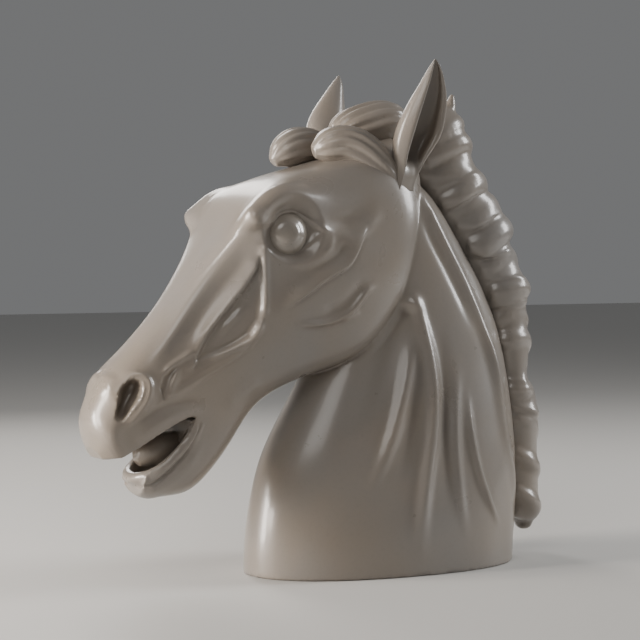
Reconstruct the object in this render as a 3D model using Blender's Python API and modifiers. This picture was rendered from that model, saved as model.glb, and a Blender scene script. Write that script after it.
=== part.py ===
"""Giant garden chess knight: a hollow horse's head and neck, 0.6 m tall, that stands on its flat foot.

Frame: +Z up, the horse looks along -Y and its left side is +X. The origin is on the ground in the
middle of the foot. Every number below is in millimetres, or in degrees where a name says so.
"""

import math

import bmesh
import bpy
import numpy as np
from mathutils import Matrix

MM = 0.001
GAP = 0.3  # between two pieces that touch
FIT = 0.7  # what a trimmed piece leaves over the curved skin that it sits on
WALL = 4.5  # of the moulded neck

# The head has its own directions: s runs from the poll to the muzzle, h up off that line.
POLL = np.array([10.0, 440.0])  # (y, z)
MUZZLE_DROP_DEG = 36.33
ALONG = np.array([-math.cos(math.radians(MUZZLE_DROP_DEG)), -math.sin(math.radians(MUZZLE_DROP_DEG))])
ABOVE = np.array([ALONG[1], -ALONG[0]])

# Sections of the head from poll to lips: s, then (x, h) down the left half from top to underside.
HEAD_SECTIONS = [
    (-35, [(0, 50), (15, 48), (30, 38), (38, 22), (40, 8), (36, -8), (26, -20), (12, -28), (0, -30)]),
    (0, [(0, 58), (25, 56), (48, 46), (60, 30), (63, 8), (60, -18), (50, -42), (30, -56), (0, -60)]),
    (60, [(0, 76), (30, 75), (56, 66), (70, 45), (75, 15), (74, -25), (67, -66), (48, -98), (0, -106)]),
    (110, [(0, 95), (35, 93), (62, 82), (77, 60), (81, 25), (80, -22), (73, -70), (53, -113), (0, -125)]),
    (160, [(0, 102), (38, 102), (70, 96), (84, 72), (82, 30), (79, -17), (72, -66), (52, -115), (0, -127)]),
    (200, [(0, 90), (32, 90), (57, 84), (71, 62), (73, 22), (74, -20), (66, -62), (46, -104), (0, -114)]),
    (245, [(0, 75), (24, 74), (42, 65), (55, 42), (65, 10), (65, -26), (56, -60), (37, -92), (0, -100)]),
    (290, [(0, 62), (20, 60), (34, 51), (45, 32), (55, 4), (54, -26), (47, -58), (32, -88), (0, -98)]),
    (335, [(0, 52), (18, 50), (31, 42), (41, 25), (48, 0), (48, -28), (44, -64), (33, -99), (0, -112)]),
    (375, [(0, 46), (18, 44), (33, 37), (45, 22), (49, 0), (47, -30), (43, -70), (33, -108), (0, -122)]),
    (410, [(0, 40), (18, 38), (34, 30), (45, 15), (46, -4), (42, -30), (38, -68), (29, -107), (0, -121)]),
    (437, [(0, 26), (16, 24), (31, 14), (40, 1), (40, -14), (36, -34), (32, -64), (24, -94), (0, -105)]),
    (456, [(0, 5), (12, 3), (23, -3), (30, -12), (31, -21), (28, -34), (24, -52), (17, -68), (0, -77)]),
    (463, [(0, -12), (6, -13), (12, -16), (16, -20), (16, -25), (15, -31), (12, -38), (8, -43), (0, -46)]),
]
BROW = (172, 96, 64, 34, 9)  # s, h and x of each bony brow, its radius and its height

# Oval hollow of the head: s, middle h, half width, half height.
SKULL_HOLLOW = [
    (-12, 6, 18, 24), (20, -6, 48, 48), (60, -14, 60, 76), (110, -14, 68, 96), (160, -12, 69, 97),
    (200, -10, 60, 86), (245, -12, 50, 74), (290, -16, 41, 64), (330, -20, 33, 52), (352, -8, 31, 38),
    (380, 6, 29, 27), (412, 2, 24, 20), (432, -4, 14, 12),
]

# Sections of the neck from foot to crown: front (y, z), back (y, z), half width.
NECK_SECTIONS = [
    ((-160, 0), (183, 0), 98), ((-160, 20), (184, 20), 98), ((-155, 70), (188, 75), 95),
    ((-138, 135), (188, 150), 86), ((-108, 190), (178, 225), 76), ((-80, 240), (160, 290), 68),
    ((-58, 285), (128, 350), 63), ((-38, 330), (92, 402), 60), ((-15, 370), (50, 447), 54),
    ((0, 400), (15, 465), 40),
]
# Half outline of a neck section: share of the way from front to back, share of the half width.
NECK_OVAL = [(0, 0), (0.03, 0.36), (0.13, 0.68), (0.33, 0.93), (0.58, 1.0), (0.80, 0.88), (0.93, 0.60), (1, 0)]

# Mouth, as (s, h): the line of the upper lip and that of the lower lip, from the corner forwards.
MOUTH_CORNER = (357, -50)
UPPER_LIP = [(382, -41), (403, -38), (430, -37), (448, -34), (480, -20)]
LOWER_LIP = [(365, -57), (381, -61), (398, -64), (414, -67), (432, -67), (446, -64), (480, -62)]
JAW_BACK = 352  # s of the joint behind the jaw piece
BELOW_JAW = -170  # h and s well clear of the lips, where the mouth cutters end
BEYOND_LIPS = 520
CUT_HALF_WIDTH = 90
LIP_OVERLAP = 2  # how far the jaw's cutters reach past the mouth gap
MOUTH_FLOOR = [(366, -62, 10, 6), (385, -74, 24, 20), (405, -78, 26, 24), (425, -78, 22, 22), (438, -72, 12, 12)]
MOUTH_ROOF = [(366, -44, 8, 5), (385, -40, 22, 12), (410, -37, 27, 14), (435, -34, 24, 12), (449, -33, 12, 6)]
TONGUE = [(372, -72, 9, 6), (390, -67, 17, 15), (408, -62, 20, 18), (420, -60, 16, 15), (428, -60, 8, 7)]

EYE_CENTRE = (61, -149, 385)  # x, y, z of the left ball
EYE_RADIUS = 24
EYE_CUP_WALL = 4

# Ears: x, y, z of the middle, half length of the section, half thickness, turn about Z in degrees.
EAR_LEFT = [
    (60, 4, 436, 14, 11, 62), (63, 6, 452, 12, 11, 62), (67, 10, 476, 20, 12, 62), (74, 20, 503, 27, 11, 62),
    (80, 28, 534, 22, 9, 62), (85, 29, 560, 13, 6, 62), (89, 28, 578, 5, 3, 62), (90, 28, 583, 2, 2, 62),
]
EAR_RIGHT = [
    (-58, -2, 436, 14, 11, 118), (-61, -6, 452, 13, 11, 118), (-66, -14, 476, 20, 12, 118),
    (-72, -22, 505, 26, 11, 118), (-79, -15, 533, 20, 9, 118), (-84, -2, 556, 12, 6, 118),
    (-88, 6, 572, 5, 3, 118), (-88, 8, 578, 2, 2, 118),
]
EAR_HOLLOW_DEPTH = 8

# Locks of hair, as swept ovals: x, y, z of the middle, half width and half height.
FORELOCK_LEFT = [
    (60, -8, 438, 5, 7), (55, -18, 456, 13, 16), (42, -34, 474, 20, 24), (30, -56, 484, 22, 24),
    (23, -76, 482, 18, 19), (19, -88, 478, 9, 9),
]
FORELOCK_RIGHT = [
    (-56, -20, 456, 10, 12), (-49, -36, 470, 17, 20), (-38, -62, 484, 21, 24), (-32, -88, 482, 22, 23),
    (-32, -104, 474, 16, 16), (-33, -111, 468, 8, 8),
]
FORELOCK_CROWN = [
    (-6, -46, 494, 12, 12), (-4, -32, 502, 24, 24), (-2, -6, 508, 30, 28), (2, 22, 512, 30, 28), (3, 40, 510, 22, 22),
]

# The mane follows the crest: a point on the neck, one on the outline of the hair, half width.
MANE_LINE = [
    ((22, 468), (64, 533), 36), ((48, 452), (105, 540), 37), ((64, 438), (126, 500), 40),
    ((80, 418), (150, 448), 41), ((98, 395), (178, 412), 41), ((115, 370), (190, 372), 40),
    ((130, 345), (208, 338), 40), ((148, 312), (214, 308), 39), ((160, 290), (214, 275), 38),
    ((170, 255), (216, 240), 36), ((178, 225), (213, 205), 35), ((184, 190), (229, 178), 34),
    ((188, 150), (230, 140), 33), ((188, 110), (231, 100), 32), ((188, 75), (233, 58), 30),
    ((186, 45), (222, 27), 24),
]
MANE_LOCKS = [(0, 2), (2, 4), (4, 6), (6, 8), (8, 10), (10, 12), (12, 13.6), (13.6, 15)]
MANE_ROOT = 14  # how far a lock reaches into the neck before it is trimmed

# Foot, from the ground up.
PLATE_THICK = 5
BELOW_GROUND = 10  # how far the cutters reach under the foot
SEAL_THICK = 2
RING_HEIGHT = 12
RING_WIDTH = 15
PLATE_INSET = WALL + GAP
SCREWS = 6
SCREW_INSET = PLATE_INSET + RING_WIDTH / 2
SCREW_TOP = 18
SCREW_SIDES = 10
BUNG_SIDES = 26
BUNG_Y = 62
BUNG_HEAD_RADIUS = 27
BUNG_SHANK_RADIUS = 20
BUNG_TOP = 24
BOSS_RADIUS = 36
BOSS_TOP = 16
RECESS_DEPTH = 8
SAND_TOP = 46

COLOURS = {
    "moulding": ((0.43, 0.38, 0.33), 0.28, 0.0),
    "eye": ((0.40, 0.36, 0.32), 0.18, 0.0),
    "tongue": ((0.36, 0.31, 0.27), 0.35, 0.0),
    "foot": ((0.20, 0.18, 0.16), 0.60, 0.0),
    "rubber": ((0.03, 0.03, 0.03), 0.80, 0.0),
    "brass": ((0.71, 0.55, 0.27), 0.30, 1.0),
    "steel": ((0.60, 0.60, 0.60), 0.30, 1.0),
    "sand": ((0.60, 0.49, 0.33), 0.95, 0.0),
}


def clear_scene():
    for obj in list(bpy.data.objects):
        bpy.data.objects.remove(obj, do_unlink=True)


def collection(name):
    made = bpy.data.collections.new(name)
    bpy.context.scene.collection.children.link(made)
    return made


def make_material(name):
    colour, roughness, metallic = COLOURS[name]
    material = bpy.data.materials.new(name)
    material.use_nodes = True
    shader = material.node_tree.nodes["Principled BSDF"]
    shader.inputs["Base Color"].default_value = (*colour, 1.0)
    shader.inputs["Roughness"].default_value = roughness
    shader.inputs["Metallic"].default_value = metallic
    return material


def curve_through(knots, values, at):
    """Natural cubic spline through values at the knots, read at the given places."""
    knots, values, at = np.asarray(knots, float), np.asarray(values, float), np.asarray(at, float)
    count, steps = len(knots), np.diff(knots)
    flat = values.reshape(count, -1)
    system, right = np.eye(count), np.zeros_like(flat)
    for i in range(1, count - 1):
        system[i, i - 1 : i + 2] = steps[i - 1], 2 * (steps[i - 1] + steps[i]), steps[i]
        right[i] = 6 * ((flat[i + 1] - flat[i]) / steps[i] - (flat[i] - flat[i - 1]) / steps[i - 1])
    bend = np.linalg.solve(system, right)
    k = np.clip(np.searchsorted(knots, at, "right") - 1, 0, count - 2)
    step = steps[k][:, None]
    a = (knots[k + 1] - at)[:, None] / step
    b = 1 - a
    read = a * flat[k] + b * flat[k + 1] + ((a**3 - a) * bend[k] + (b**3 - b) * bend[k + 1]) * step**2 / 6
    return read.reshape(len(at), *values.shape[1:])


def even_ring(points, count):
    """Resamples a closed ring evenly along a smooth curve, starting at its first point."""
    extra = 4
    looped = np.vstack([points[-extra:], points, points[: extra + 1]])
    run = np.concatenate([[0], np.cumsum(np.linalg.norm(np.diff(looped, axis=0), axis=1))])
    start, end = run[extra], run[extra + len(points)]
    return curve_through(run, looped, start + (end - start) * np.arange(count) / count)


def both_halves(half):
    """Adds the mirror image to a half outline whose ends lie on x = 0."""
    half = np.array(half, float)
    other = half[-2:0:-1].copy()
    other[:, 0] *= -1
    return np.vstack([half, other])


def head_point(s, h, x):
    s, h, x = np.broadcast_arrays(np.asarray(s, float), h, x)
    plane = POLL + s[..., None] * ALONG + h[..., None] * ABOVE
    return np.concatenate([x[..., None], plane], axis=-1)


def normals_of(rings):
    """Outward direction at each point of a stack of rings."""
    around = np.roll(rings, -1, 1) - np.roll(rings, 1, 1)
    along = np.gradient(rings, axis=0)
    normal = np.cross(around, along)
    normal /= np.maximum(np.linalg.norm(normal, axis=2, keepdims=True), 1e-9)
    outward = rings - rings.mean(axis=1, keepdims=True)
    return normal * np.sign((normal * outward).sum())


def grown(rings, amount):
    """The same stack of rings, moved outwards everywhere, its two ends included."""
    moved = rings + normals_of(rings) * amount
    for end, inner in ((0, 1), (-1, -2)):
        push = rings[end].mean(axis=0) - rings[inner].mean(axis=0)
        moved[end] += push / np.linalg.norm(push) * amount
    return moved


def head_rings(stations=28, around=24):
    knots = [s for s, _ in HEAD_SECTIONS]
    places = np.linspace(knots[0], knots[-1], stations)
    sections = curve_through(knots, [both_halves(half) for _, half in HEAD_SECTIONS], places)
    rings = []
    for s, section in zip(places, sections):
        section = even_ring(section, around)
        rings.append(head_point(s, section[:, 1], section[:, 0]))
    rings = np.array(rings)
    brow_s, brow_h, brow_x, radius, height = BROW
    middle = head_point(brow_s, brow_h, brow_x)
    for side in (1, -1):
        far = np.linalg.norm(rings - middle * (side, 1, 1), axis=2) / radius
        rings = rings + normals_of(rings) * (height * np.exp(-2 * far**2))[..., None]
    return rings


def neck_rings(stations=15, around=30, last=None):
    sections = []
    for front, back, half_width in NECK_SECTIONS[:last]:
        front, back = np.array(front, float), np.array(back, float)
        half = [(share * half_width, *(front + (back - front) * t)) for t, share in NECK_OVAL]
        sections.append(both_halves(half))
    sections = np.array(sections)
    middles = sections.mean(axis=1)
    run = np.concatenate([[0], np.cumsum(np.linalg.norm(np.diff(middles, axis=0), axis=1))])
    places = np.concatenate([[0], np.linspace(run[1], run[-1], stations - 1)])
    return np.array([even_ring(ring, around) for ring in curve_through(run, sections, places)])


def oval_rings(sections, around=14, stations=None):
    """Ovals across the head: s, middle h, half width, half height."""
    sections = np.array(sections, float)
    if stations:
        places = np.linspace(sections[0, 0], sections[-1, 0], stations)
        sections = curve_through(sections[:, 0], sections, places)
    angles = 2 * math.pi * np.arange(around) / around
    return np.array(
        [head_point(s, h + high * np.cos(angles), wide * np.sin(angles)) for s, h, wide, high in sections]
    )


def swept_rings(sections, stations, around=14):
    """Ovals along a path: x, y, z, half width across the path, half height."""
    sections = np.array(sections, float)
    knots = np.arange(len(sections))
    rows = curve_through(knots, sections, np.linspace(0, knots[-1], stations))
    path = rows[:, :3]
    heading = np.gradient(path, axis=0)
    heading /= np.linalg.norm(heading, axis=1, keepdims=True)
    side = np.cross(heading, (0, 0, 1))
    side /= np.linalg.norm(side, axis=1, keepdims=True)
    top = np.cross(side, heading)
    angles = 2 * math.pi * np.arange(around) / around
    across = rows[:, 3][:, None, None] * np.cos(angles)[None, :, None] * side[:, None]
    upright = rows[:, 4][:, None, None] * np.sin(angles)[None, :, None] * top[:, None]
    return path[:, None] + across + upright


def ear_rings(sections, stations=10, around=12):
    sections = np.array(sections, float)
    knots = np.concatenate([[0], np.cumsum(np.linalg.norm(np.diff(sections[:, :3], axis=0), axis=1))])
    rows = curve_through(knots, sections, np.linspace(0, knots[-1], stations))
    angles = 2 * math.pi * np.arange(around) / around
    rings = []
    for x, y, z, long_half, thick_half, turn in rows:
        turn = math.radians(turn)
        along, across = long_half * np.cos(angles), thick_half * np.sin(angles)
        ring_x = x + along * math.cos(turn) - across * math.sin(turn)
        ring_y = y + along * math.sin(turn) + across * math.cos(turn)
        rings.append(np.stack([ring_x, ring_y, np.full(around, z)], axis=1))
    return np.array(rings)


def mane_rings(first, last, stations=6, around=14):
    """One lock: saddle-shaped ovals over the crest, fuller in the middle than at its ends."""
    rows = np.array([(*inner, *outer, wide) for inner, outer, wide in MANE_LINE], float)
    rows = curve_through(np.arange(len(rows)), rows, np.linspace(first + 0.012, last - 0.012, stations))
    angles = 2 * math.pi * np.arange(around) / around
    rings = []
    for share, (y_in, z_in, y_out, z_out, wide) in zip(np.linspace(0, 1, stations), rows):
        fullness = 0.86 + 0.14 * math.sin(math.pi * share)
        inner, outer = np.array([y_in, z_in]), np.array([y_out, z_out])
        way = (outer - inner) / np.linalg.norm(outer - inner)
        inner = inner - way * MANE_ROOT
        outer = inner + (outer - inner) * (0.93 + 0.07 * math.sin(math.pi * share))
        middle, reach = (inner + outer) / 2, np.linalg.norm(outer - inner) / 2
        plane = middle + (reach * np.cos(angles))[:, None] * way
        rings.append(np.column_stack([wide * fullness * np.sin(angles), plane]))
    return np.array(rings)


def foot_outline(inset, around=30):
    """The neck's outline at the ground, moved inwards by the inset."""
    ring = neck_rings(3, around)[0][:, :2]
    tangent = np.roll(ring, -1, 0) - np.roll(ring, 1, 0)
    normal = np.stack([tangent[:, 1], -tangent[:, 0]], axis=1)
    normal /= np.linalg.norm(normal, axis=1, keepdims=True)
    normal *= np.sign((normal * ring).sum())
    return ring - normal * inset


def new_object(name, mesh, material, into):
    obj = bpy.data.objects.new(name, mesh)
    into.objects.link(obj)
    if material is None:
        obj.hide_render = True
        obj.display_type = "WIRE"
    else:
        mesh.materials.append(material)
        mesh.shade_smooth()
    return obj


def loft(name, rings, material, into):
    """A closed skin over a stack of rings, in millimetres."""
    mesh = bpy.data.meshes.new(name)
    shape = bmesh.new()
    rows = [[shape.verts.new(point * MM) for point in ring] for ring in rings]
    around = len(rows[0])
    for low, high in zip(rows, rows[1:]):
        for j in range(around):
            k = (j + 1) % around
            shape.faces.new((low[j], low[k], high[k], high[j]))
    for end in (rows[0], rows[-1]):
        shape.faces.new(end)
    bmesh.ops.recalc_face_normals(shape, faces=shape.faces)
    shape.to_mesh(mesh)
    shape.free()
    return new_object(name, mesh, material, into)


def slab(name, outline, low, high, material, into, hole=None):
    """An upright plate with the given outline, and a hole of the same number of points."""
    if hole is None:
        rings = [np.column_stack([outline, np.full(len(outline), z)]) for z in (low, high)]
        return loft(name, rings, material, into)
    mesh = bpy.data.meshes.new(name)
    shape = bmesh.new()
    loops = [
        [shape.verts.new(np.array([x, y, z]) * MM) for x, y in line]
        for line, z in ((outline, low), (outline, high), (hole, high), (hole, low))
    ]
    for i, loop in enumerate(loops):
        following = loops[(i + 1) % len(loops)]
        for j in range(len(outline)):
            k = (j + 1) % len(outline)
            shape.faces.new((loop[j], loop[k], following[k], following[j]))
    bmesh.ops.recalc_face_normals(shape, faces=shape.faces)
    shape.to_mesh(mesh)
    shape.free()
    return new_object(name, mesh, material, into)


def prism(name, outline, half_width, into):
    """A cutter: a head-plane outline of (s, h) points, drawn out to both sides."""
    s, h = np.array(outline, float).T
    rings = [head_point(s, h, side * half_width) for side in (-1, 1)]
    return loft(name, np.array(rings), None, into)


def turned(name, profile, place, material, into, steps=20, closed=False):
    """A profile of (radius, z) points, top to bottom down its outer side, turned about Z."""
    mesh = bpy.data.meshes.new(name)
    points = [(radius * MM, 0, z * MM) for radius, z in profile]
    edges = [(i, i + 1) for i in range(len(points) - 1)]
    if closed:
        edges.append((len(points) - 1, 0))
    mesh.from_pydata(points, edges, [])
    obj = new_object(name, mesh, material, into)
    obj.location = (place[0] * MM, place[1] * MM, 0)
    screw = obj.modifiers.new("turn", "SCREW")
    screw.steps = screw.render_steps = steps
    screw.use_merge_vertices = True
    screw.merge_threshold = 1e-5
    return obj


def ball(name, centre, radius, material, into):
    mesh = bpy.data.meshes.new(name)
    shape = bmesh.new()
    bmesh.ops.create_uvsphere(shape, u_segments=16, v_segments=10, radius=radius * MM)
    bmesh.ops.rotate(shape, verts=shape.verts, matrix=Matrix.Rotation(math.radians(90), 3, "Y"))
    shape.to_mesh(mesh)
    shape.free()
    obj = new_object(name, mesh, material, into)
    obj.location = [value * MM for value in centre]
    return obj


def combine(target, operation, *others):
    for other in others:
        modifier = target.modifiers.new(f"{operation.lower()} {other.name}", "BOOLEAN")
        modifier.operation = operation
        modifier.object = other


def build_head(parts, cutters, looks):
    """Skull, jaw, tongue and eyes, with the cutter that keeps other pieces clear of the head."""
    rings = head_rings()
    clear = loft("head_clear", grown(rings, FIT), None, cutters)
    hollow = loft("skull_hollow", oval_rings(SKULL_HOLLOW, 14, 15), None, cutters)
    eyes = {}
    for side, name in ((1, "left"), (-1, "right")):
        centre = (EYE_CENTRE[0] * side, *EYE_CENTRE[1:])
        eyes[name] = ball(f"eye_{name}", centre, EYE_RADIUS, looks["eye"], parts)
        cup = ball(f"eye_cup_{name}", centre, EYE_RADIUS + EYE_CUP_WALL, None, cutters)
        combine(hollow, "DIFFERENCE", cup)
    mouth = prism("mouth_gap", [MOUTH_CORNER, *UPPER_LIP, *LOWER_LIP[::-1]], CUT_HALF_WIDTH, cutters)
    roof = loft("mouth_roof", oval_rings(MOUTH_ROOF, 14, 9), None, cutters)
    floor = loft("mouth_floor", oval_rings(MOUTH_FLOOR, 14, 9), None, cutters)
    lip_low = LOWER_LIP[-1][1] + 0.3
    under = [(JAW_BACK, MOUTH_CORNER[1] - LIP_OVERLAP), (JAW_BACK, BELOW_JAW), (BEYOND_LIPS, BELOW_JAW)]
    under += [(BEYOND_LIPS, lip_low), (LOWER_LIP[-1][0], lip_low), *LOWER_LIP[-2::-1]]
    jaw_block = prism("jaw_block", under, CUT_HALF_WIDTH, cutters)
    back = JAW_BACK - GAP
    room = [(back, MOUTH_CORNER[1] + 1), (back, BELOW_JAW - 1), (BEYOND_LIPS + 1, BELOW_JAW - 1)]
    room += [(BEYOND_LIPS + 1, UPPER_LIP[0][1] + 1), (UPPER_LIP[2][0] - 10, MOUTH_CORNER[1])]
    jaw_room = prism("jaw_room", room, CUT_HALF_WIDTH + 1, cutters)

    skull = loft("head_shell", rings, looks["moulding"], parts)
    combine(skull, "DIFFERENCE", hollow, mouth, jaw_room, roof)
    for name in eyes:
        centre = eyes[name].location / MM
        socket = ball(f"eye_socket_{name}", centre, EYE_RADIUS + GAP, None, cutters)
        combine(skull, "DIFFERENCE", socket)

    jaw = loft("lower_jaw", rings, looks["moulding"], parts)
    combine(jaw, "INTERSECT", jaw_block)
    combine(jaw, "DIFFERENCE", mouth, floor)
    tongue_rings = oval_rings(TONGUE, 12, 8)
    loft("tongue", tongue_rings, looks["tongue"], parts)
    combine(jaw, "DIFFERENCE", loft("tongue_bed", grown(tongue_rings, FIT), None, cutters))
    return skull, clear


def build_neck(parts, cutters, looks, head_clear, skull):
    rings = neck_rings()
    clear = loft("neck_clear", grown(rings, FIT), None, cutters)
    inside = grown(neck_rings(last=-1), -WALL)
    inside[0][:, 2] = -BELOW_GROUND
    hollow = loft("neck_hollow", inside, None, cutters)
    neck = loft("neck_shell", rings, looks["moulding"], parts)
    combine(neck, "DIFFERENCE", hollow, head_clear)
    combine(skull, "DIFFERENCE", hollow)
    return clear


def build_ears(parts, cutters, looks, clears):
    """Two cupped ears, whose hollows face outwards."""
    made = []
    for name, sections, side in (("left", EAR_LEFT, 1), ("right", EAR_RIGHT, -1)):
        rings = ear_rings(sections)
        ear = loft(f"ear_{name}", rings, looks["moulding"], parts)
        cup = np.array(sections[1:-1], float)
        cup[:, 0] += side * (cup[:, 4] + EAR_HOLLOW_DEPTH / 2)
        cup[:, 3] *= 0.62
        cup[:, 4] = EAR_HOLLOW_DEPTH
        cutter = loft(f"ear_cup_{name}", ear_rings(cup, 7, 10), None, cutters)
        combine(ear, "DIFFERENCE", cutter, *clears)
        made.append(loft(f"ear_clear_{name}", grown(rings, FIT), None, cutters))
    return made


def build_hair(parts, cutters, looks, clears, ear_clears):
    """Three forelocks, then the locks of the mane down the crest, each trimmed to its neighbours."""
    before = [*clears, *ear_clears]
    for name, sections in (
        ("forelock_left", FORELOCK_LEFT),
        ("forelock_right", FORELOCK_RIGHT),
        ("forelock_crown", FORELOCK_CROWN),
    ):
        rings = swept_rings(sections, 9)
        lock = loft(name, rings, looks["moulding"], parts)
        combine(lock, "DIFFERENCE", *before)
        before.append(loft(f"{name}_clear", grown(rings, FIT), None, cutters))
    for number, (first, last) in enumerate(MANE_LOCKS, 1):
        lock = loft(f"mane_lock_{number}", mane_rings(first, last), looks["moulding"], parts)
        combine(lock, "DIFFERENCE", *(before if number == 1 else clears))


def screw_places():
    """Middles of the foot screws, spread evenly round the foot."""
    line = foot_outline(SCREW_INSET, SCREWS * 2)
    return [tuple(point) for point in line[1::2]]


def build_foot(parts, cutters, looks):
    """Base plate with its seal, the ring that is bonded into the neck, inserts and screws."""
    seal_low = PLATE_THICK + GAP
    ring_low = seal_low + SEAL_THICK + GAP
    ring_top = ring_low + RING_HEIGHT
    plate = slab("base_plate", foot_outline(PLATE_INSET), 0, PLATE_THICK, looks["foot"], parts)
    boss_profile = [(0, BOSS_TOP), (BOSS_RADIUS, BOSS_TOP), (BOSS_RADIUS, 1), (0, 1)]
    boss = turned("boss", boss_profile, (0, BUNG_Y), None, cutters, BUNG_SIDES)
    combine(plate, "UNION", boss)
    recess, bore = BUNG_HEAD_RADIUS + 0.6, BUNG_SHANK_RADIUS + 0.4
    opening = [(0, BOSS_TOP + 5), (bore, BOSS_TOP + 5), (bore, RECESS_DEPTH), (recess, RECESS_DEPTH)]
    opening += [(recess, -5), (0, -5)]
    combine(plate, "DIFFERENCE", turned("filler_hole", opening, (0, BUNG_Y), None, cutters, BUNG_SIDES))

    edge, inner = foot_outline(PLATE_INSET), foot_outline(PLATE_INSET + RING_WIDTH)
    ring = slab("foot_ring", edge, ring_low, ring_top, looks["foot"], parts, hole=inner)
    seal = slab("base_seal", edge, seal_low, seal_low + SEAL_THICK, looks["rubber"], parts, hole=inner)
    for number, place in enumerate(screw_places(), 1):
        shank = [(0, SCREW_TOP), (1.7, SCREW_TOP), (2, SCREW_TOP - 0.5), (2, 3.6), (4.6, 1.0), (4.6, 0.6)]
        socket = [(1.7, 0.6), (1.7, 2.4), (0, 2.4)]
        turned(f"base_screw_{number}", shank + socket, place, looks["steel"], parts, SCREW_SIDES)
        sleeve = [(2.4, ring_top - 2), (4, ring_top - 2), (4, ring_low), (2.4, ring_low)]
        turned(f"insert_{number}", sleeve, place, looks["brass"], parts, SCREW_SIDES, closed=True)
        hole = [(0, PLATE_THICK + 5), (2.5, PLATE_THICK + 5), (2.5, 4.1), (5.2, 1.2), (5.2, -3), (0, -3)]
        hole = turned(f"screw_hole_{number}", hole, place, None, cutters, SCREW_SIDES)
        combine(plate, "DIFFERENCE", hole)
        combine(seal, "DIFFERENCE", hole)
        pocket = [(0, ring_top + 3), (4.4, ring_top + 3), (4.4, ring_low - 3), (0, ring_low - 3)]
        combine(ring, "DIFFERENCE", turned(f"insert_hole_{number}", pocket, place, None, cutters, SCREW_SIDES))


def build_bung(parts, cutters, looks):
    """The screwed bung of the filling hole, and the ring seal under its head."""
    head_top = 5.4
    profile = [(0, BUNG_TOP), (BUNG_SHANK_RADIUS - 1, BUNG_TOP), (BUNG_SHANK_RADIUS, BUNG_TOP - 1)]
    profile += [(BUNG_SHANK_RADIUS, head_top), (BUNG_HEAD_RADIUS, head_top), (BUNG_HEAD_RADIUS, 1), (0, 1)]
    bung = turned("filler_bung", profile, (0, BUNG_Y), looks["foot"], parts, BUNG_SIDES)
    slot = np.array([(-22, -3), (22, -3), (22, 3), (-22, 3)], float) + (0, BUNG_Y)
    combine(bung, "DIFFERENCE", slab("key_slot", slot, -2, 3.6, None, cutters))
    low, high = head_top + GAP, RECESS_DEPTH - GAP
    inner, outer = BUNG_SHANK_RADIUS + 0.6, BUNG_HEAD_RADIUS - 0.4
    turned(
        "bung_seal", [(inner, high), (outer, high), (outer, low), (inner, low)],
        (0, BUNG_Y), looks["rubber"], parts, BUNG_SIDES, closed=True,
    )


def build_ballast(parts, cutters, looks):
    """Dry sand that fills the foot inside the ring, and leaves room round the bung."""
    line = foot_outline(PLATE_INSET + RING_WIDTH + 1)
    heap = foot_outline(PLATE_INSET + RING_WIDTH + 30)
    levels = ((line, PLATE_THICK + GAP), (line, SAND_TOP - 6), (heap, SAND_TOP))
    rings = np.array([np.column_stack([outline, np.full(len(outline), z)]) for outline, z in levels])
    sand = loft("sand_ballast", rings, looks["sand"], parts)
    room = [(0, BUNG_TOP + 4), (BOSS_RADIUS + 1, BUNG_TOP + 4), (BOSS_RADIUS + 1, 0), (0, 0)]
    combine(sand, "DIFFERENCE", turned("bung_room", room, (0, BUNG_Y), None, cutters, BUNG_SIDES))


def main():
    clear_scene()
    parts, cutters = collection("garden_knight"), collection("cutters")
    looks = {name: make_material(name) for name in COLOURS}
    skull, head_clear = build_head(parts, cutters, looks)
    neck_clear = build_neck(parts, cutters, looks, head_clear, skull)
    clears = (head_clear, neck_clear)
    ear_clears = build_ears(parts, cutters, looks, clears)
    build_hair(parts, cutters, looks, clears, ear_clears)
    build_foot(parts, cutters, looks)
    build_bung(parts, cutters, looks)
    build_ballast(parts, cutters, looks)


main()
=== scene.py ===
"""Looks of the giant garden chess knight: a glossy horse's head and neck on a flat foot.

The head and neck are lofted, joined and rounded like clay, worked over with long soft strokes, and
then parted again along the joints of the real casting. Sizes are in millimetres until a mesh is made.
"""

import math

import bmesh
import bpy
import numpy as np
from mathutils import Matrix, Vector
from mathutils.bvhtree import BVHTree


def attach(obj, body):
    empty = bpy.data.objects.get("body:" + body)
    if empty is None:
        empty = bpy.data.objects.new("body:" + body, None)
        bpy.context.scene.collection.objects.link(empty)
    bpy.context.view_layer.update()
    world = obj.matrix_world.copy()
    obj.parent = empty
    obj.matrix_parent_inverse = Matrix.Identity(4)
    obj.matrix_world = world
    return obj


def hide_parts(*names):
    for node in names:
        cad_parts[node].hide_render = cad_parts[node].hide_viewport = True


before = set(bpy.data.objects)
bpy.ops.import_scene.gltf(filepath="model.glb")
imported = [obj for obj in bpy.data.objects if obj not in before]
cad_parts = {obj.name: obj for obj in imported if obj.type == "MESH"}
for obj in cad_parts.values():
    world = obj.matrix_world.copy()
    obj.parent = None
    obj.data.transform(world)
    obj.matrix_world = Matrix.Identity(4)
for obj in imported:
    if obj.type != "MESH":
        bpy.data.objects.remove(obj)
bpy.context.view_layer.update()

MM = 0.001

# ---------------------------------------------------------------- the horse's own measures
# The head has its own directions: s runs from the poll to the muzzle, h up off that line.
POLL = np.array([10.0, 440.0])
MUZZLE_DROP = math.radians(36.33)
ALONG = np.array([-math.cos(MUZZLE_DROP), -math.sin(MUZZLE_DROP)])
ABOVE = np.array([ALONG[1], -ALONG[0]])

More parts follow.
